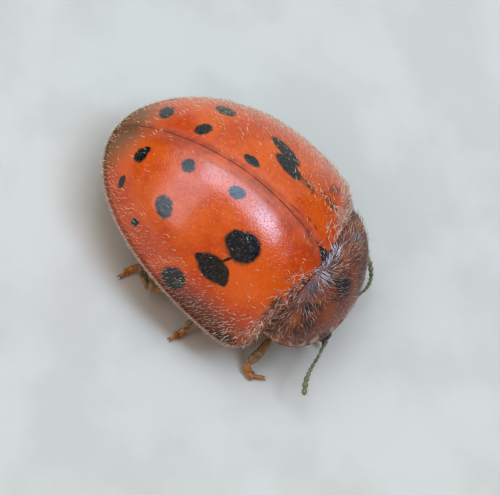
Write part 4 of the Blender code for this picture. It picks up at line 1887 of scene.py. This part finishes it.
@dataclass
class Scutellum:
    """The small dark triangle between the bases of the wing cases."""

    shop: Workshop
    length: float = 0.165
    half_width: float = 0.092
    half_depth: float = 0.022
    sunk: float = 0.028
    hairs_above: float = 1.34
    steps: int = 20
    hairs: HairStyle = HairStyle(0.03, 0.07, seed=31)

    def build(self) -> None:
        """Build the plate and its few hairs."""
        dome, anchor = self.shop.dome, self.shop.anchor
        y = np.linspace(-0.015, self.length - 0.015, self.steps)
        path = stacked(0.0, dome.bowed(y, np.pi / 2.0), dome.top_at(y) - self.sunk)
        share = np.linspace(0.0, 1.0, self.steps)
        widths = self.half_width * (1.0 - share) ** 0.8 * rounded(share, 0.12, 0.02) + 0.004
        shape = sweep(path, widths, self.half_depth * rounded(share, 0.2, 0.3) + 0.004, 24)
        cuticle = PlainChitin("#241D10", "#100C08", "#3E3320").make("scutellum_cuticle", anchor)
        self.shop.piece("scutellum_plate", shape, cuticle, Slot.SCUTELLUM, "scutellum")
        top = skin_marks(shape, np.array((0.0, 1.0, 0.0)),
                         smooth_step(shape.points[:, 2] - self.hairs_above, -0.02, 0.03))
        self.shop.fur("scutellum_coat", top, self.hairs,
                      HairKeratin("#E4D8C8").make("scutellum_setae", anchor), Slot.SCUTELLUM)


@dataclass
class Trunk:
    """The body under the shells: the three thorax plates and the belly's rings."""

    shop: Workshop
    sides: int = 72
    belly: float = 0.30
    belly_rise: float = 0.12
    chin_rise: float = 0.29
    plate_step: float = 0.022
    side_rise: float = 0.03
    roof_rise: float = 0.12
    thorax_edges: tuple[float, ...] = (-0.05, 0.36, 1.05)
    abdomen_edges: tuple[float, ...] = (1.03, 1.50, 1.78, 2.03, 2.26, 2.46, 2.62)
    hairs: HairStyle = HairStyle(0.045, 0.075, slimness=0.04, lift=18.0, seed=41)

    def ring(self, y: float, half_width: float, side: float, top: float,
             bottom: float) -> np.ndarray:
        """One cross-section, with a full belly and a low roof that the shells hide.

        Args:
            y: its station.
            half_width: half its width.
            side: the level where it is widest.
            top: the level of its roof.
            bottom: the level of its belly.

        Returns:
            The points round it.
        """
        angle = np.linspace(0.0, 2.0 * np.pi, self.sides, endpoint=False)
        c, s = np.cos(angle), np.sin(angle)
        high = np.where(s >= 0.0, top, bottom)
        return stacked(half_width * np.sign(c) * np.abs(c) ** 0.8, y,
                       side + (high - side) * np.abs(s) ** 0.9)

    def side_level(self, y: float) -> float:
        """The level where the body is widest, just above the wing cases' rim."""
        return float(self.shop.dome.rim_at(np.array(max(y, 0.0)))) + self.side_rise

    def plates(self, edges: tuple[float, ...], rows: int) -> Shape:
        """A row of belly plates, each with its hind edge a little proud of the next.

        Args:
            edges: the stations where the plates begin and end.
            rows: rings on each plate.

        Returns:
            The closed shape.
        """
        rings = []
        for start, end in zip(edges[:-1], edges[1:]):
            for share in np.linspace(0.0, 0.985, rows):
                y = start + (end - start) * share
                side = self.side_level(y)
                sag = self.plate_step * (1.0 - share ** 1.5)
                bottom = self.belly + self.belly_rise * max(y / 2.42, 0.0) ** 4 + sag
                width = self.under_wings(y) - 0.4 * sag
                rings.append(self.ring(y, width, side, side + self.roof_rise, bottom))
        return Shape.sheet(np.array(rings), closed=True, ends=Ends.FAN)

    def shield_filling(self) -> Shape:
        """The body that fills the shield, with its sides folded in from the shield's rim.

        Returns:
            The closed shape.
        """
        shield = Shield(self.shop)
        angle = np.linspace(0.0, np.pi, 48)
        share = np.linspace(0.0, 1.0, 7)[1:-1, None]
        rows = []
        for y in np.linspace(-0.70, -0.03, 36):
            roof = shield.point(y, angle, shield.thickness + 0.008)
            bottom = self.belly + self.chin_rise * float(smooth_step(-y, 0.44, 0.60))
            side = max(self.side_level(0.0), bottom + 0.012)
            half_width = min(self.under_shield(y), roof[-1, 0] - 0.06)
            belly = self.ring(y, half_width, side, side, bottom)[self.sides // 2:][::-1]
            fold = share * (belly[0] - roof[-1]) * (1.0, 1.0, 0.0)
            fold[:, 2] = share[:, 0] ** 1.8 * (belly[0] - roof[-1])[2]
            left = roof[-1] + fold
            rows.append(np.concatenate((roof, left, belly, left[::-1] * (-1.0, 1.0, 1.0))))
        return Shape.sheet(np.array(rows), closed=True, ends=Ends.FAN)

    def under_wings(self, y: float) -> float:
        """How wide the body is under the wing cases.

        Args:
            y: the station.

        Returns:
            Half the width.
        """
        width = float(self.shop.dome.width_at(np.array(y)))
        tail = max(0.0, 1.0 - (max(y - 1.9, 0.0) / 0.74) ** 2.4) ** 0.5
        return max(min(width - 0.20, 1.24) * tail, 0.05)

    def under_shield(self, y: float) -> float:
        """Half the width of the body under the shield."""
        return 0.92 * (1.0 - (-y / 0.80) ** 2.1) ** (1.0 / 2.1)

    def build(self) -> None:
        """Build the three lengths of the trunk and their coats."""
        anchor = self.shop.anchor
        cuticle = PlainChitin("#5A2410", "#2E120A", "#7E3A1C", roughness=0.4,
                              blotch_mm=0.3).make("underside_cuticle", anchor)
        hair = HairKeratin("#CDBBA4").make("underside_setae", anchor)
        for name, shape in (("prothorax", self.shield_filling()),
                            ("thorax", self.plates(self.thorax_edges, 16)),
                            ("abdomen", self.plates(self.abdomen_edges, 9))):
            self.shop.piece(f"{name}_plates", shape, cuticle, Slot.UNDERSIDE, name)
            below = 1.0 - smooth_step(shape.points[:, 2], 0.44, 0.54)
            skin = skin_marks(shape, np.array((0.0, 1.0, 0.0)), below)
            self.shop.fur(f"{name}_coat", skin, self.hairs, hair, Slot.UNDERSIDE)


@dataclass
class Head:
    """The head, hung low under the shield, with its mouthparts and compound eyes."""

    shop: Workshop
    centre: Triple = (0.0, -0.60, 0.42)
    radii: Triple = (0.43, 0.19, 0.21)
    eye_centre: Triple = (0.37, -0.70, 0.47)
    eye_radii: Triple = (0.105, 0.115, 0.15)
    facet_mm: float = 0.0098
    hairs: HairStyle = HairStyle(0.034, 0.07, slimness=0.035, lift=25.0, seed=53)

    def build(self) -> None:
        """Build the head's pieces."""
        anchor = self.shop.anchor
        cuticle = PlainChitin("#7E3716", "#4A1F10", "#A8552A").make("head_cuticle", anchor)
        capsule = egg(self.centre, self.radii, 40, 56)
        x, y, z = capsule.points.T
        brow = bell(x, 0.0, 0.2) * bell(z, 0.50, 0.10)
        capsule.points[:, 1] = y + np.where(y < self.centre[1], 0.02 * brow, 0.0)
        clypeus = egg((0.0, -0.755, 0.31), (0.20, 0.055, 0.05), 16, 28)
        self.shop.piece("head_capsule", Shape.joined([capsule, clypeus]), cuticle, Slot.HEAD,
                        "head")
        front = 1.0 - smooth_step(capsule.points[:, 1], -0.68, -0.60)
        skin = skin_marks(capsule, np.array((0.0, -0.4, -1.0)), front)
        self.shop.fur("head_coat", skin, self.hairs,
                      HairKeratin("#E0D3C0").make("head_setae", anchor), Slot.HEAD)
        self.build_mouth()
        self.build_eyes()

    def build_mouth(self) -> None:
        """Build the lip, the jaws and the two pairs of palps."""
        honey = PlainChitin("#7A3E16", "#40200E", "#A4622C", roughness=0.35).make(
            "mouthparts_cuticle", self.shop.anchor)
        shapes = [egg((0.0, -0.775, 0.255), (0.15, 0.03, 0.045), 14, 24),
                  egg((0.0, -0.66, 0.20), (0.14, 0.07, 0.05), 14, 24)]
        for side in Side:
            s = side.value
            jaw = [(s * 0.17, -0.71, 0.24), (s * 0.15, -0.77, 0.205), (s * 0.05, -0.79, 0.19)]
            shapes.append(rod(jaw, [(0.0, 0.05), (0.5, 0.04), (1.0, 0.012)], 0.7))
            palp = [(s * 0.17, -0.68, 0.20), (s * 0.23, -0.74, 0.155), (s * 0.25, -0.80, 0.14)]
            shapes.append(rod(palp, [(0.0, 0.022), (1.0, 0.026)], count=16, sides=12))
            hatchet = [(s * 0.25, -0.79, 0.14), (s * 0.275, -0.84, 0.135),
                       (s * 0.285, -0.875, 0.13)]
            shapes.append(rod(hatchet, [(0.0, 0.022), (0.8, 0.05), (1.0, 0.05)], 0.5,
                              (0.2, 0.1), 14, 16))
            lower = [(s * 0.06, -0.69, 0.17), (s * 0.08, -0.745, 0.14), (s * 0.08, -0.785, 0.14)]
            shapes.append(rod(lower, [(0.0, 0.016), (1.0, 0.018)], count=14, sides=12))
        self.shop.piece("mouthparts_set", Shape.joined(shapes), honey, Slot.MOUTHPARTS,
                        "mouthparts")

    def build_eyes(self) -> None:
        """Build both compound eyes, with a lens at every point of a fine ball."""
        eye = PieceTree("compound_eye", Centre="Vector", Radii="Vector", Facet="Float",
                        Glass="Material")
        tree, inputs = eye.tree, eye.inputs
        ball = add(tree, "GeometryNodeMeshIcoSphere", {"Radius": 1.0, "Subdivisions": 4}, "Mesh")
        shaped = add(tree, "GeometryNodeTransform",
                     {"Geometry": ball, "Translation": inputs["Centre"],
                      "Scale": inputs["Radii"]})
        lens = add(tree, "GeometryNodeMeshIcoSphere",
                   {"Radius": inputs["Facet"], "Subdivisions": 2}, "Mesh")
        lenses = add(tree, "GeometryNodeInstanceOnPoints", {"Points": shaped, "Instance": lens})
        both = add(tree, "GeometryNodeJoinGeometry", {0: lenses})
        tree.links.new(shaped, both.node.inputs[0])
        eye.finish(both, "Glass")
        glass = FacetGlass().make("eye_lenses", self.shop.anchor)
        x, y, z = self.eye_centre
        for side in Side:
            name = f"eye_{side.word}_facets"
            mesh = eye.run(name, bpy.data.meshes.new("eye_bed"),
                           Centre=self.shop.anchor.spot((side.value * x, y, z)),
                           Radii=[radius * MM for radius in self.eye_radii],
                           Facet=self.facet_mm * MM, Glass=glass)
            dress(link_piece(name, mesh), Slot.EYE, f"eye_{side.word}")


@dataclass
class Feeler:
    """An antenna: eleven beads along a curved line, the last three making a club.

    Attributes:
        shop: what it is built with.
        side: which antenna.
        line: its centre line, from the socket to the tip.
        beads: half the length and half the width of each bead.
    """

    shop: Workshop
    side: Side
    line: tuple[Triple, ...]
    beads: tuple[Pair, ...] = (
        (0.062, 0.036), (0.044, 0.030), (0.056, 0.021), (0.042, 0.021), (0.042, 0.022),
        (0.038, 0.024), (0.038, 0.026), (0.036, 0.029), (0.044, 0.035), (0.044, 0.039),
        (0.048, 0.036))
    hairs: HairStyle = HairStyle(0.024, 0.042, slimness=0.036, lift=30.0, seed=61)

    def build(self) -> None:
        """Build the beads and their short hairs."""
        anchor, tag = self.shop.anchor, f"antenna_{self.side.word}"
        straw = PlainChitin("#6C6A3C", "#4A4824", "#8E8A58", roughness=0.5, glow=0.2).make(
            f"{tag}_cuticle", anchor)
        centres, aims, halves = self.lay_out()
        bed = bpy.data.meshes.new(f"{tag}_bed")
        bed.from_pydata(anchor.place(centres), [], [])
        store_mark(bed, "aim", aims)
        store_mark(bed, "half", halves * MM)
        mesh = self.tree().run(f"{tag}_beads", bed, Straw=straw)
        dress(link_piece(f"{tag}_beads", mesh), Slot.ANTENNA, tag)
        path = smooth_path(list(self.line), 60)
        across = np.interp(np.linspace(0.0, 1.0, 60), self.shares(), halves[:, 0])
        skin = skin_marks(sweep(path, across, across, 12), unit(path[-1] - path[0]))
        self.shop.fur(f"{tag}_coat", skin, self.hairs,
                      HairKeratin("#9A966E", "#6C6640").make(f"{tag}_setae", anchor),
                      Slot.ANTENNA)

    def shares(self) -> np.ndarray:
        """How far along the whole length the middle of each bead lies.

        Returns:
            A share from 0 to 1 for each bead.
        """
        halves = np.array([half for half, _ in self.beads])
        ends = np.cumsum(2.0 * halves)
        return (ends - halves) / ends[-1]

    def lay_out(self) -> tuple[np.ndarray, np.ndarray, np.ndarray]:
        """Set the beads along the line.

        Returns:
            Each bead's middle, its direction and its half sizes, in millimetres.
        """
        path = smooth_path(list(self.line), 200)
        run = run_lengths(path[:, None], 0)[:, 0]
        length = np.linalg.norm(np.diff(path, axis=0), axis=1).sum()
        run /= run[-1]
        shares = self.shares()
        centres, slopes = (np.column_stack([np.interp(shares, run, column) for column in rows.T])
                           for rows in (path, np.gradient(path, axis=0)))
        fit = length / sum(2.0 * half for half, _ in self.beads)
        halves = np.array([(wide, wide, 1.12 * half * fit) for half, wide in self.beads])
        return centres, unit(slopes), halves

    def tree(self) -> PieceTree:
        """Build a tree that sets a bead on each point.

        Returns:
            The tree.
        """
        beads = PieceTree(f"antenna_beads_{self.side.word}", Straw="Material")
        turned = add(beads.tree, "FunctionNodeAxesToRotation",
                     {0: beads.mark("aim"), 1: (0.0, 0.0, 1.0)},
                     primary_axis="Z", secondary_axis="X")
        ball = add(beads.tree, "GeometryNodeMeshUVSphere",
                   {"Segments": 20, "Rings": 14, "Radius": 1.0}, "Mesh")
        strung = add(beads.tree, "GeometryNodeInstanceOnPoints",
                     {"Points": beads.inputs["Bed"], "Instance": ball, "Rotation": turned,
                      "Scale": beads.mark("half")})
        beads.finish(strung, "Straw")
        return beads


@dataclass(frozen=True)
class LegLine:
    """A leg's joints and thicknesses, for the right side with x made positive.

    Attributes:
        name: which leg.
        hip: where the thigh starts.
        knee: where the thigh meets the shin.
        shin: the shin's middle and end.
        foot: the foot's points after the shin's end.
        splay: how far the left leg is swung about its hip, in radians.
        thigh_half: half the thigh's width at its widest.
        shin_half: half the shin's width at its narrow and wide ends.
        foot_half: half the foot's width at its lobes.
    """

    name: str
    hip: Triple
    knee: Triple
    shin: tuple[Triple, Triple]
    foot: tuple[Triple, Triple, Triple]
    splay: float
    thigh_half: float
    shin_half: Pair
    foot_half: float


LEG_LINES = (
    LegLine("front", (0.30, -0.30, 0.33), (0.86, -0.205, 0.37),
            ((1.04, -0.219, 0.24), (1.19, -0.192, 0.125)),
            ((1.274, -0.255, 0.047), (1.262, -0.358, 0.037), (1.19, -0.472, 0.027)),
            splay=0.10, thigh_half=0.105, shin_half=(0.050, 0.068), foot_half=0.062),
    LegLine("middle", (0.36, 0.40, 0.33), (1.12, 0.68, 0.33),
            ((1.26, 0.715, 0.22), (1.39, 0.73, 0.12)),
            ((1.454, 0.745, 0.044), (1.52, 0.77, 0.029), (1.589, 0.796, 0.020)),
            splay=-0.07, thigh_half=0.105, shin_half=(0.038, 0.050), foot_half=0.048),
    LegLine("hind", (0.40, 1.00, 0.33), (1.36, 1.43, 0.27),
            ((1.22, 1.56, 0.20), (1.06, 1.664, 0.12)),
            ((1.18, 1.743, 0.042), (1.25, 1.768, 0.029), (1.332, 1.792, 0.020)),
            splay=0.06, thigh_half=0.12, shin_half=(0.045, 0.060), foot_half=0.046),
)


@dataclass(frozen=True)
class LegFinishes:
    """What every leg is made of."""

    bone: Material
    pad: Material
    claw: Material
    hair: Material


@dataclass
class Leg:
    """One leg: coxa and thigh, shin, a foot of three lobes and a pair of claws."""

    shop: Workshop
    line: LegLine
    side: Side
    finishes: LegFinishes
    hairs: HairStyle = HairStyle(0.032, 0.058, slimness=0.038, lift=34.0, scatter=0.35,
                                 seed=71)

    def at(self, point: Triple) -> Triple:
        """A point of the line on this leg's side, where left legs swing about the hip.

        Args:
            point: the point, as the line gives it.

        Returns:
            The point, on this leg's side.
        """
        hip = self.line.hip
        x, y, z = np.array(point) - hip
        splay = self.line.splay if self.side is Side.LEFT else 0.0
        c, s = math.cos(splay), math.sin(splay)
        return self.side.value * (hip[0] + c * x - s * y), hip[1] + s * x + c * y, hip[2] + z

    def build(self) -> None:
        """Build the leg's pieces and its coat."""
        line, shop, finishes = self.line, self.shop, self.finishes
        tag = f"{line.name}_{self.side.word}"
        hip, knee, middle, end = (self.at(point) for point in (line.hip, line.knee, *line.shin))
        foot = [self.at(point) for point in line.foot]
        belly = tuple((np.array(hip) + knee) / 2.0 - 0.01 * UP)
        half, (narrow, wide) = line.thigh_half, line.shin_half
        thigh = rod([hip, belly, knee],
                    [(0.0, 0.75 * half), (0.15, 0.8 * half), (0.55, half), (0.85, 0.85 * half),
                     (1.0, 0.7 * half)], 0.62, (0.12, 0.09), 24, 34)
        coxa = egg(hip, (0.14, 0.09, 0.075))
        shin = rod([knee, middle, end],
                   [(0.0, 0.8 * narrow), (0.2, narrow), (0.75, wide), (1.0, 0.85 * wide)],
                   0.7, (0.10, 0.08), 20, 30)
        shop.piece(f"thigh_{tag}", Shape.joined([thigh, coxa]), finishes.bone, Slot.LEG,
                   f"femur_{tag}")
        shop.piece(f"shin_{tag}", shin, finishes.bone, Slot.LEG, f"tibia_{tag}")
        dense = smooth_path([end, *foot], 40)
        lobes = self.lobes(dense)
        shop.piece(f"foot_{tag}", Shape.joined(lobes), finishes.pad, Slot.TARSUS,
                   f"tarsus_{tag}")
        shop.piece(f"claws_{tag}", Shape.joined(self.claws(dense)), finishes.claw, Slot.TARSUS)
        furred = [self.limb_skin(thigh, knee, hip, 0.6), self.limb_skin(shin, end, knee, 1.0)]
        furred += [self.limb_skin(lobe, foot[-1], end, smooth_step(lobe.points[:, 2], 0.03, 0.05))
                   for lobe in lobes]
        shop.fur(f"leg_{tag}_coat", Shape.joined(furred), self.hairs, finishes.hair, Slot.LEG)

    def limb_skin(self, shape: Shape, to: Triple, start: Triple,
                  cover: float | np.ndarray) -> Shape:
        """A length of the leg as skin.

        Args:
            shape: the length.
            to: where its hairs point.
            start: where they point from.
            cover: how thickly they grow.

        Returns:
            The skin.
        """
        return skin_marks(Shape(shape.points, shape.faces, shape.unwrap),
                          unit(np.array(to) - np.array(start)), cover)

    def lobes(self, dense: np.ndarray) -> list[Shape]:
        """The foot's lobes.

        Args:
            dense: forty points along the foot's centre line.

        Returns:
            The three lobes, from the ankle outwards.
        """
        wide = self.line.foot_half
        lifted = dense[[24, 30, 35, 39]] + np.outer((0.012, 0.02, 0.016, 0.0), UP)
        return [rod(dense[[0, 7, 15]], [(0.0, 0.6 * wide), (0.7, 0.95 * wide), (1.0, wide)],
                    0.6, (0.2, 0.12), 18, 20),
                rod(dense[[12, 20, 27]], [(0.0, 0.7 * wide), (0.6, 1.1 * wide), (1.0, wide)],
                    0.55, (0.2, 0.2), 18, 20),
                rod(lifted, [(0.0, 0.4 * wide), (0.7, 0.45 * wide), (1.0, 0.55 * wide)], 0.9,
                    (0.1, 0.15), 12, 18)]

    def claws(self, dense: np.ndarray) -> list[Shape]:
        """The foot's curved claws.

        Args:
            dense: forty points along the foot's centre line.

        Returns:
            The two claws.
        """
        tip, ahead = dense[39], unit(dense[39] - dense[34])
        across = unit(np.cross(ahead, UP))
        return [rod([tip + turn * 0.010 * across - 0.01 * ahead,
                     tip + 0.020 * ahead + turn * 0.022 * across + UP * 0.006,
                     tip + 0.038 * ahead + turn * 0.024 * across - UP * 0.012],
                    [(0.0, 0.009), (1.0, 0.002)], 1.0, (0.1, 0.05), 10, 14)
                for turn in (-1.0, 1.0)]


@dataclass
class Legs:
    """The six legs."""

    shop: Workshop

    def build(self) -> None:
        """Build every leg."""
        anchor = self.shop.anchor
        bone = PlainChitin("#8E6430", "#644622", "#B89A66", roughness=0.36, glow=0.3)
        pad = PlainChitin("#B46A0C", "#8E4C06", "#D08E24", glow=0.3)
        claw = PlainChitin("#5A2A0E", "#3A1A0A", "#7A4420", roughness=0.3)
        finishes = LegFinishes(bone.make("leg_cuticle", anchor),
                               pad.make("tarsus_cuticle", anchor),
                               claw.make("claw_cuticle", anchor),
                               HairKeratin("#E8D8BC").make("leg_setae", anchor))
        for line in LEG_LINES:
            for side in Side:
                Leg(self.shop, line, side, finishes).build()


# --- the studio -----------------------------------------------------------------------------

@dataclass(frozen=True)
class SoftLight:
    """A square-edged light far away.

    Attributes:
        name: its name.
        towards: the direction from the beetle to it.
        size_mm: its size across and along.
        watts: its power.
        colour: its tint.
        distance_mm: how far away it is.
    """

    name: str
    towards: Triple
    size_mm: Pair
    watts: float
    colour: str
    distance_mm: float = 350.0

    def build(self, target: Vector) -> None:
        """Hang the light, with its length along the line of the body.

        Args:
            target: what it shines on.
        """
        data = bpy.data.lights.new(self.name, "AREA")
        data.shape = "RECTANGLE"
        data.size, data.size_y = (size * MM for size in self.size_mm)
        data.energy = self.watts
        data.color = linear(self.colour)[:3]
        lamp = bpy.data.objects.new(self.name, data)
        bpy.context.collection.objects.link(lamp)
        z = Vector(self.towards).normalized()
        y = (Vector((0.0, 1.0, 0.0)) - z * z.y).normalized()
        turn = Matrix((y.cross(z), y, z)).transposed().to_4x4()
        lamp.matrix_world = Matrix.Translation(target + z * self.distance_mm * MM) @ turn


@dataclass
class Studio:
    """A plain pale floor, soft lights and one long lens looking down on the beetle.

    Attributes:
        anchor: where the beetle's own frame lies.
        elevation: degrees that the lens stands above the floor.
        bearing: degrees that it stands round from the tail, towards the left side.
        roll: degrees that it is turned about its own axis.
        aim: where it looks, across and up from the base's middle, in millimetres.
        aim_level: the level of the base's middle.
        field_mm: how much it sees across.
        distance_mm: how far away it is.
        sensor_mm: the width of its sensor.
        clip_m: the nearest and farthest that it sees.
        lit: the point that the lights shine on.
        floor_half_m: half the floor's size.
        sky: the room's colour.
        sky_strength: how strongly it shines.
        lights: the lights.
    """

    anchor: Anchor
    elevation: float = 60.12
    bearing: float = -77.81
    roll: float = 49.38
    aim: Pair = (-0.606, 0.362)
    aim_level: float = 0.56
    field_mm: float = 6.425
    distance_mm: float = 150.0
    sensor_mm: float = 36.0
    clip_m: Pair = (0.01, 2.0)
    lit: Triple = (0.0, 0.9, 0.6)
    floor_half_m: float = 0.6
    sky: str = "#F4F5F6"
    sky_strength: float = 0.03
    lights: tuple[SoftLight, ...] = (
        SoftLight("window_light", (0.21, 0.02, 0.97), (150.0, 470.0), 1.33, "#C2DCFF"),
        SoftLight("tail_window", (0.20, 0.60, 0.76), (220.0, 260.0), 0.34, "#D8F2FF"),
        SoftLight("bright_patch", (0.15, -0.48, 0.86), (60.0, 130.0), 0.27, "#A8DAFF"),
        SoftLight("back_window", (-0.45, 0.63, 0.63), (330.0, 170.0), 0.50, "#D8E9FF"),
        SoftLight("front_fill", (-0.62, -0.74, 0.26), (320.0, 320.0), 0.27, "#FFA880"),
        SoftLight("side_fill", (-0.80, 0.30, 0.50), (900.0, 900.0), 0.74, "#F8EBCE"),
        SoftLight("far_fill", (0.85, 0.10, 0.50), (500.0, 500.0), 0.52, "#E4ECDE"))

    def build(self) -> None:
        """Build the camera, the lights, the floor and the sky."""
        target = self.anchor.spot(self.lit)
        for light in self.lights:
            light.build(target)
        self.build_camera()
        self.build_floor()
        world = bpy.data.worlds.new("pale_room")
        world.use_nodes = True
        sky = world.node_tree.nodes["Background"]
        sky.inputs["Color"].default_value = linear(self.sky)
        sky.inputs["Strength"].default_value = self.sky_strength
        scene = bpy.context.scene
        scene.world = world
        scene.view_settings.view_transform = "Standard"
        scene.view_settings.look = "None"

    def camera_axes(self) -> tuple[Vector, Vector, Vector]:
        """Work out how the lens is turned.

        Returns:
            The directions across, up and towards the lens.
        """
        high, around, roll = (math.radians(angle)
                              for angle in (self.elevation, self.bearing, self.roll))
        level = math.cos(high)
        z = Vector((math.sin(around) * level, math.cos(around) * level, math.sin(high)))
        right = Vector(UP).cross(z).normalized()
        x = math.cos(roll) * right + math.sin(roll) * z.cross(right)
        return x, z.cross(x), z

    def build_camera(self) -> None:
        """Aim the camera, with no depth of field."""
        x, y, z = self.camera_axes()
        data = bpy.data.cameras.new("long_lens")
        data.sensor_width = self.sensor_mm
        data.lens = self.sensor_mm * self.distance_mm / self.field_mm
        data.clip_start, data.clip_end = self.clip_m
        camera = bpy.data.objects.new("long_lens", data)
        bpy.context.collection.objects.link(camera)
        centre = x * self.aim[0] + y * self.aim[1] + z * self.distance_mm
        place = self.anchor.spot((centre.x, centre.y, centre.z + self.aim_level))
        turn = Matrix((x, y, z)).transposed().to_4x4()
        camera.matrix_world = Matrix.Translation(place) @ turn
        bpy.context.scene.camera = camera

    def build_floor(self) -> None:
        """Lay the floor at the level the feet stand on."""
        mesh = bpy.data.meshes.new("paper_floor")
        half = self.floor_half_m
        mesh.from_pydata([(-half, -half, 0.0), (half, -half, 0.0), (half, half, 0.0),
                          (-half, half, 0.0)], [], [(0, 1, 2, 3)])
        link_piece("paper_floor", mesh, PaperFloor().make("paper", self.anchor))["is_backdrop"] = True


def corners() -> list[list[float]]:
    """The shown object's lowest and highest corners as plain numbers."""
    return [[float(value) for value in corner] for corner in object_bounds()]


def main() -> None:
    """Build the beetle and its studio."""
    logging.basicConfig(level=logging.INFO, format="%(name)s: %(message)s")
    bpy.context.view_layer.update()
    dome = Dome()
    anchor = Anchor.from_frame(dome.length)
    shop = Workshop(anchor, dome, Coat())
    right_line = ((-0.30, -0.74, 0.42), (-0.40, -0.81, 0.385), (-0.62, -0.85, 0.375),
                  (-0.88, -0.869, 0.38), (-1.06, -0.915, 0.38), (-1.20, -0.985, 0.38))
    left_line = ((0.30, -0.74, 0.42), (0.40, -0.80, 0.36), (0.62, -0.86, 0.31),
                 (0.80, -0.84, 0.29), (0.94, -0.74, 0.29), (1.02, -0.60, 0.31))
    assemblies = (WingCases(shop), Shield(shop), Scutellum(shop), Trunk(shop), Head(shop),
                  Feeler(shop, Side.RIGHT, right_line), Feeler(shop, Side.LEFT, left_line),
                  Legs(shop), Studio(anchor))
    for assembly in assemblies:
        assembly.build()
    bpy.context.view_layer.update()


if __name__ == "__main__":
    main()
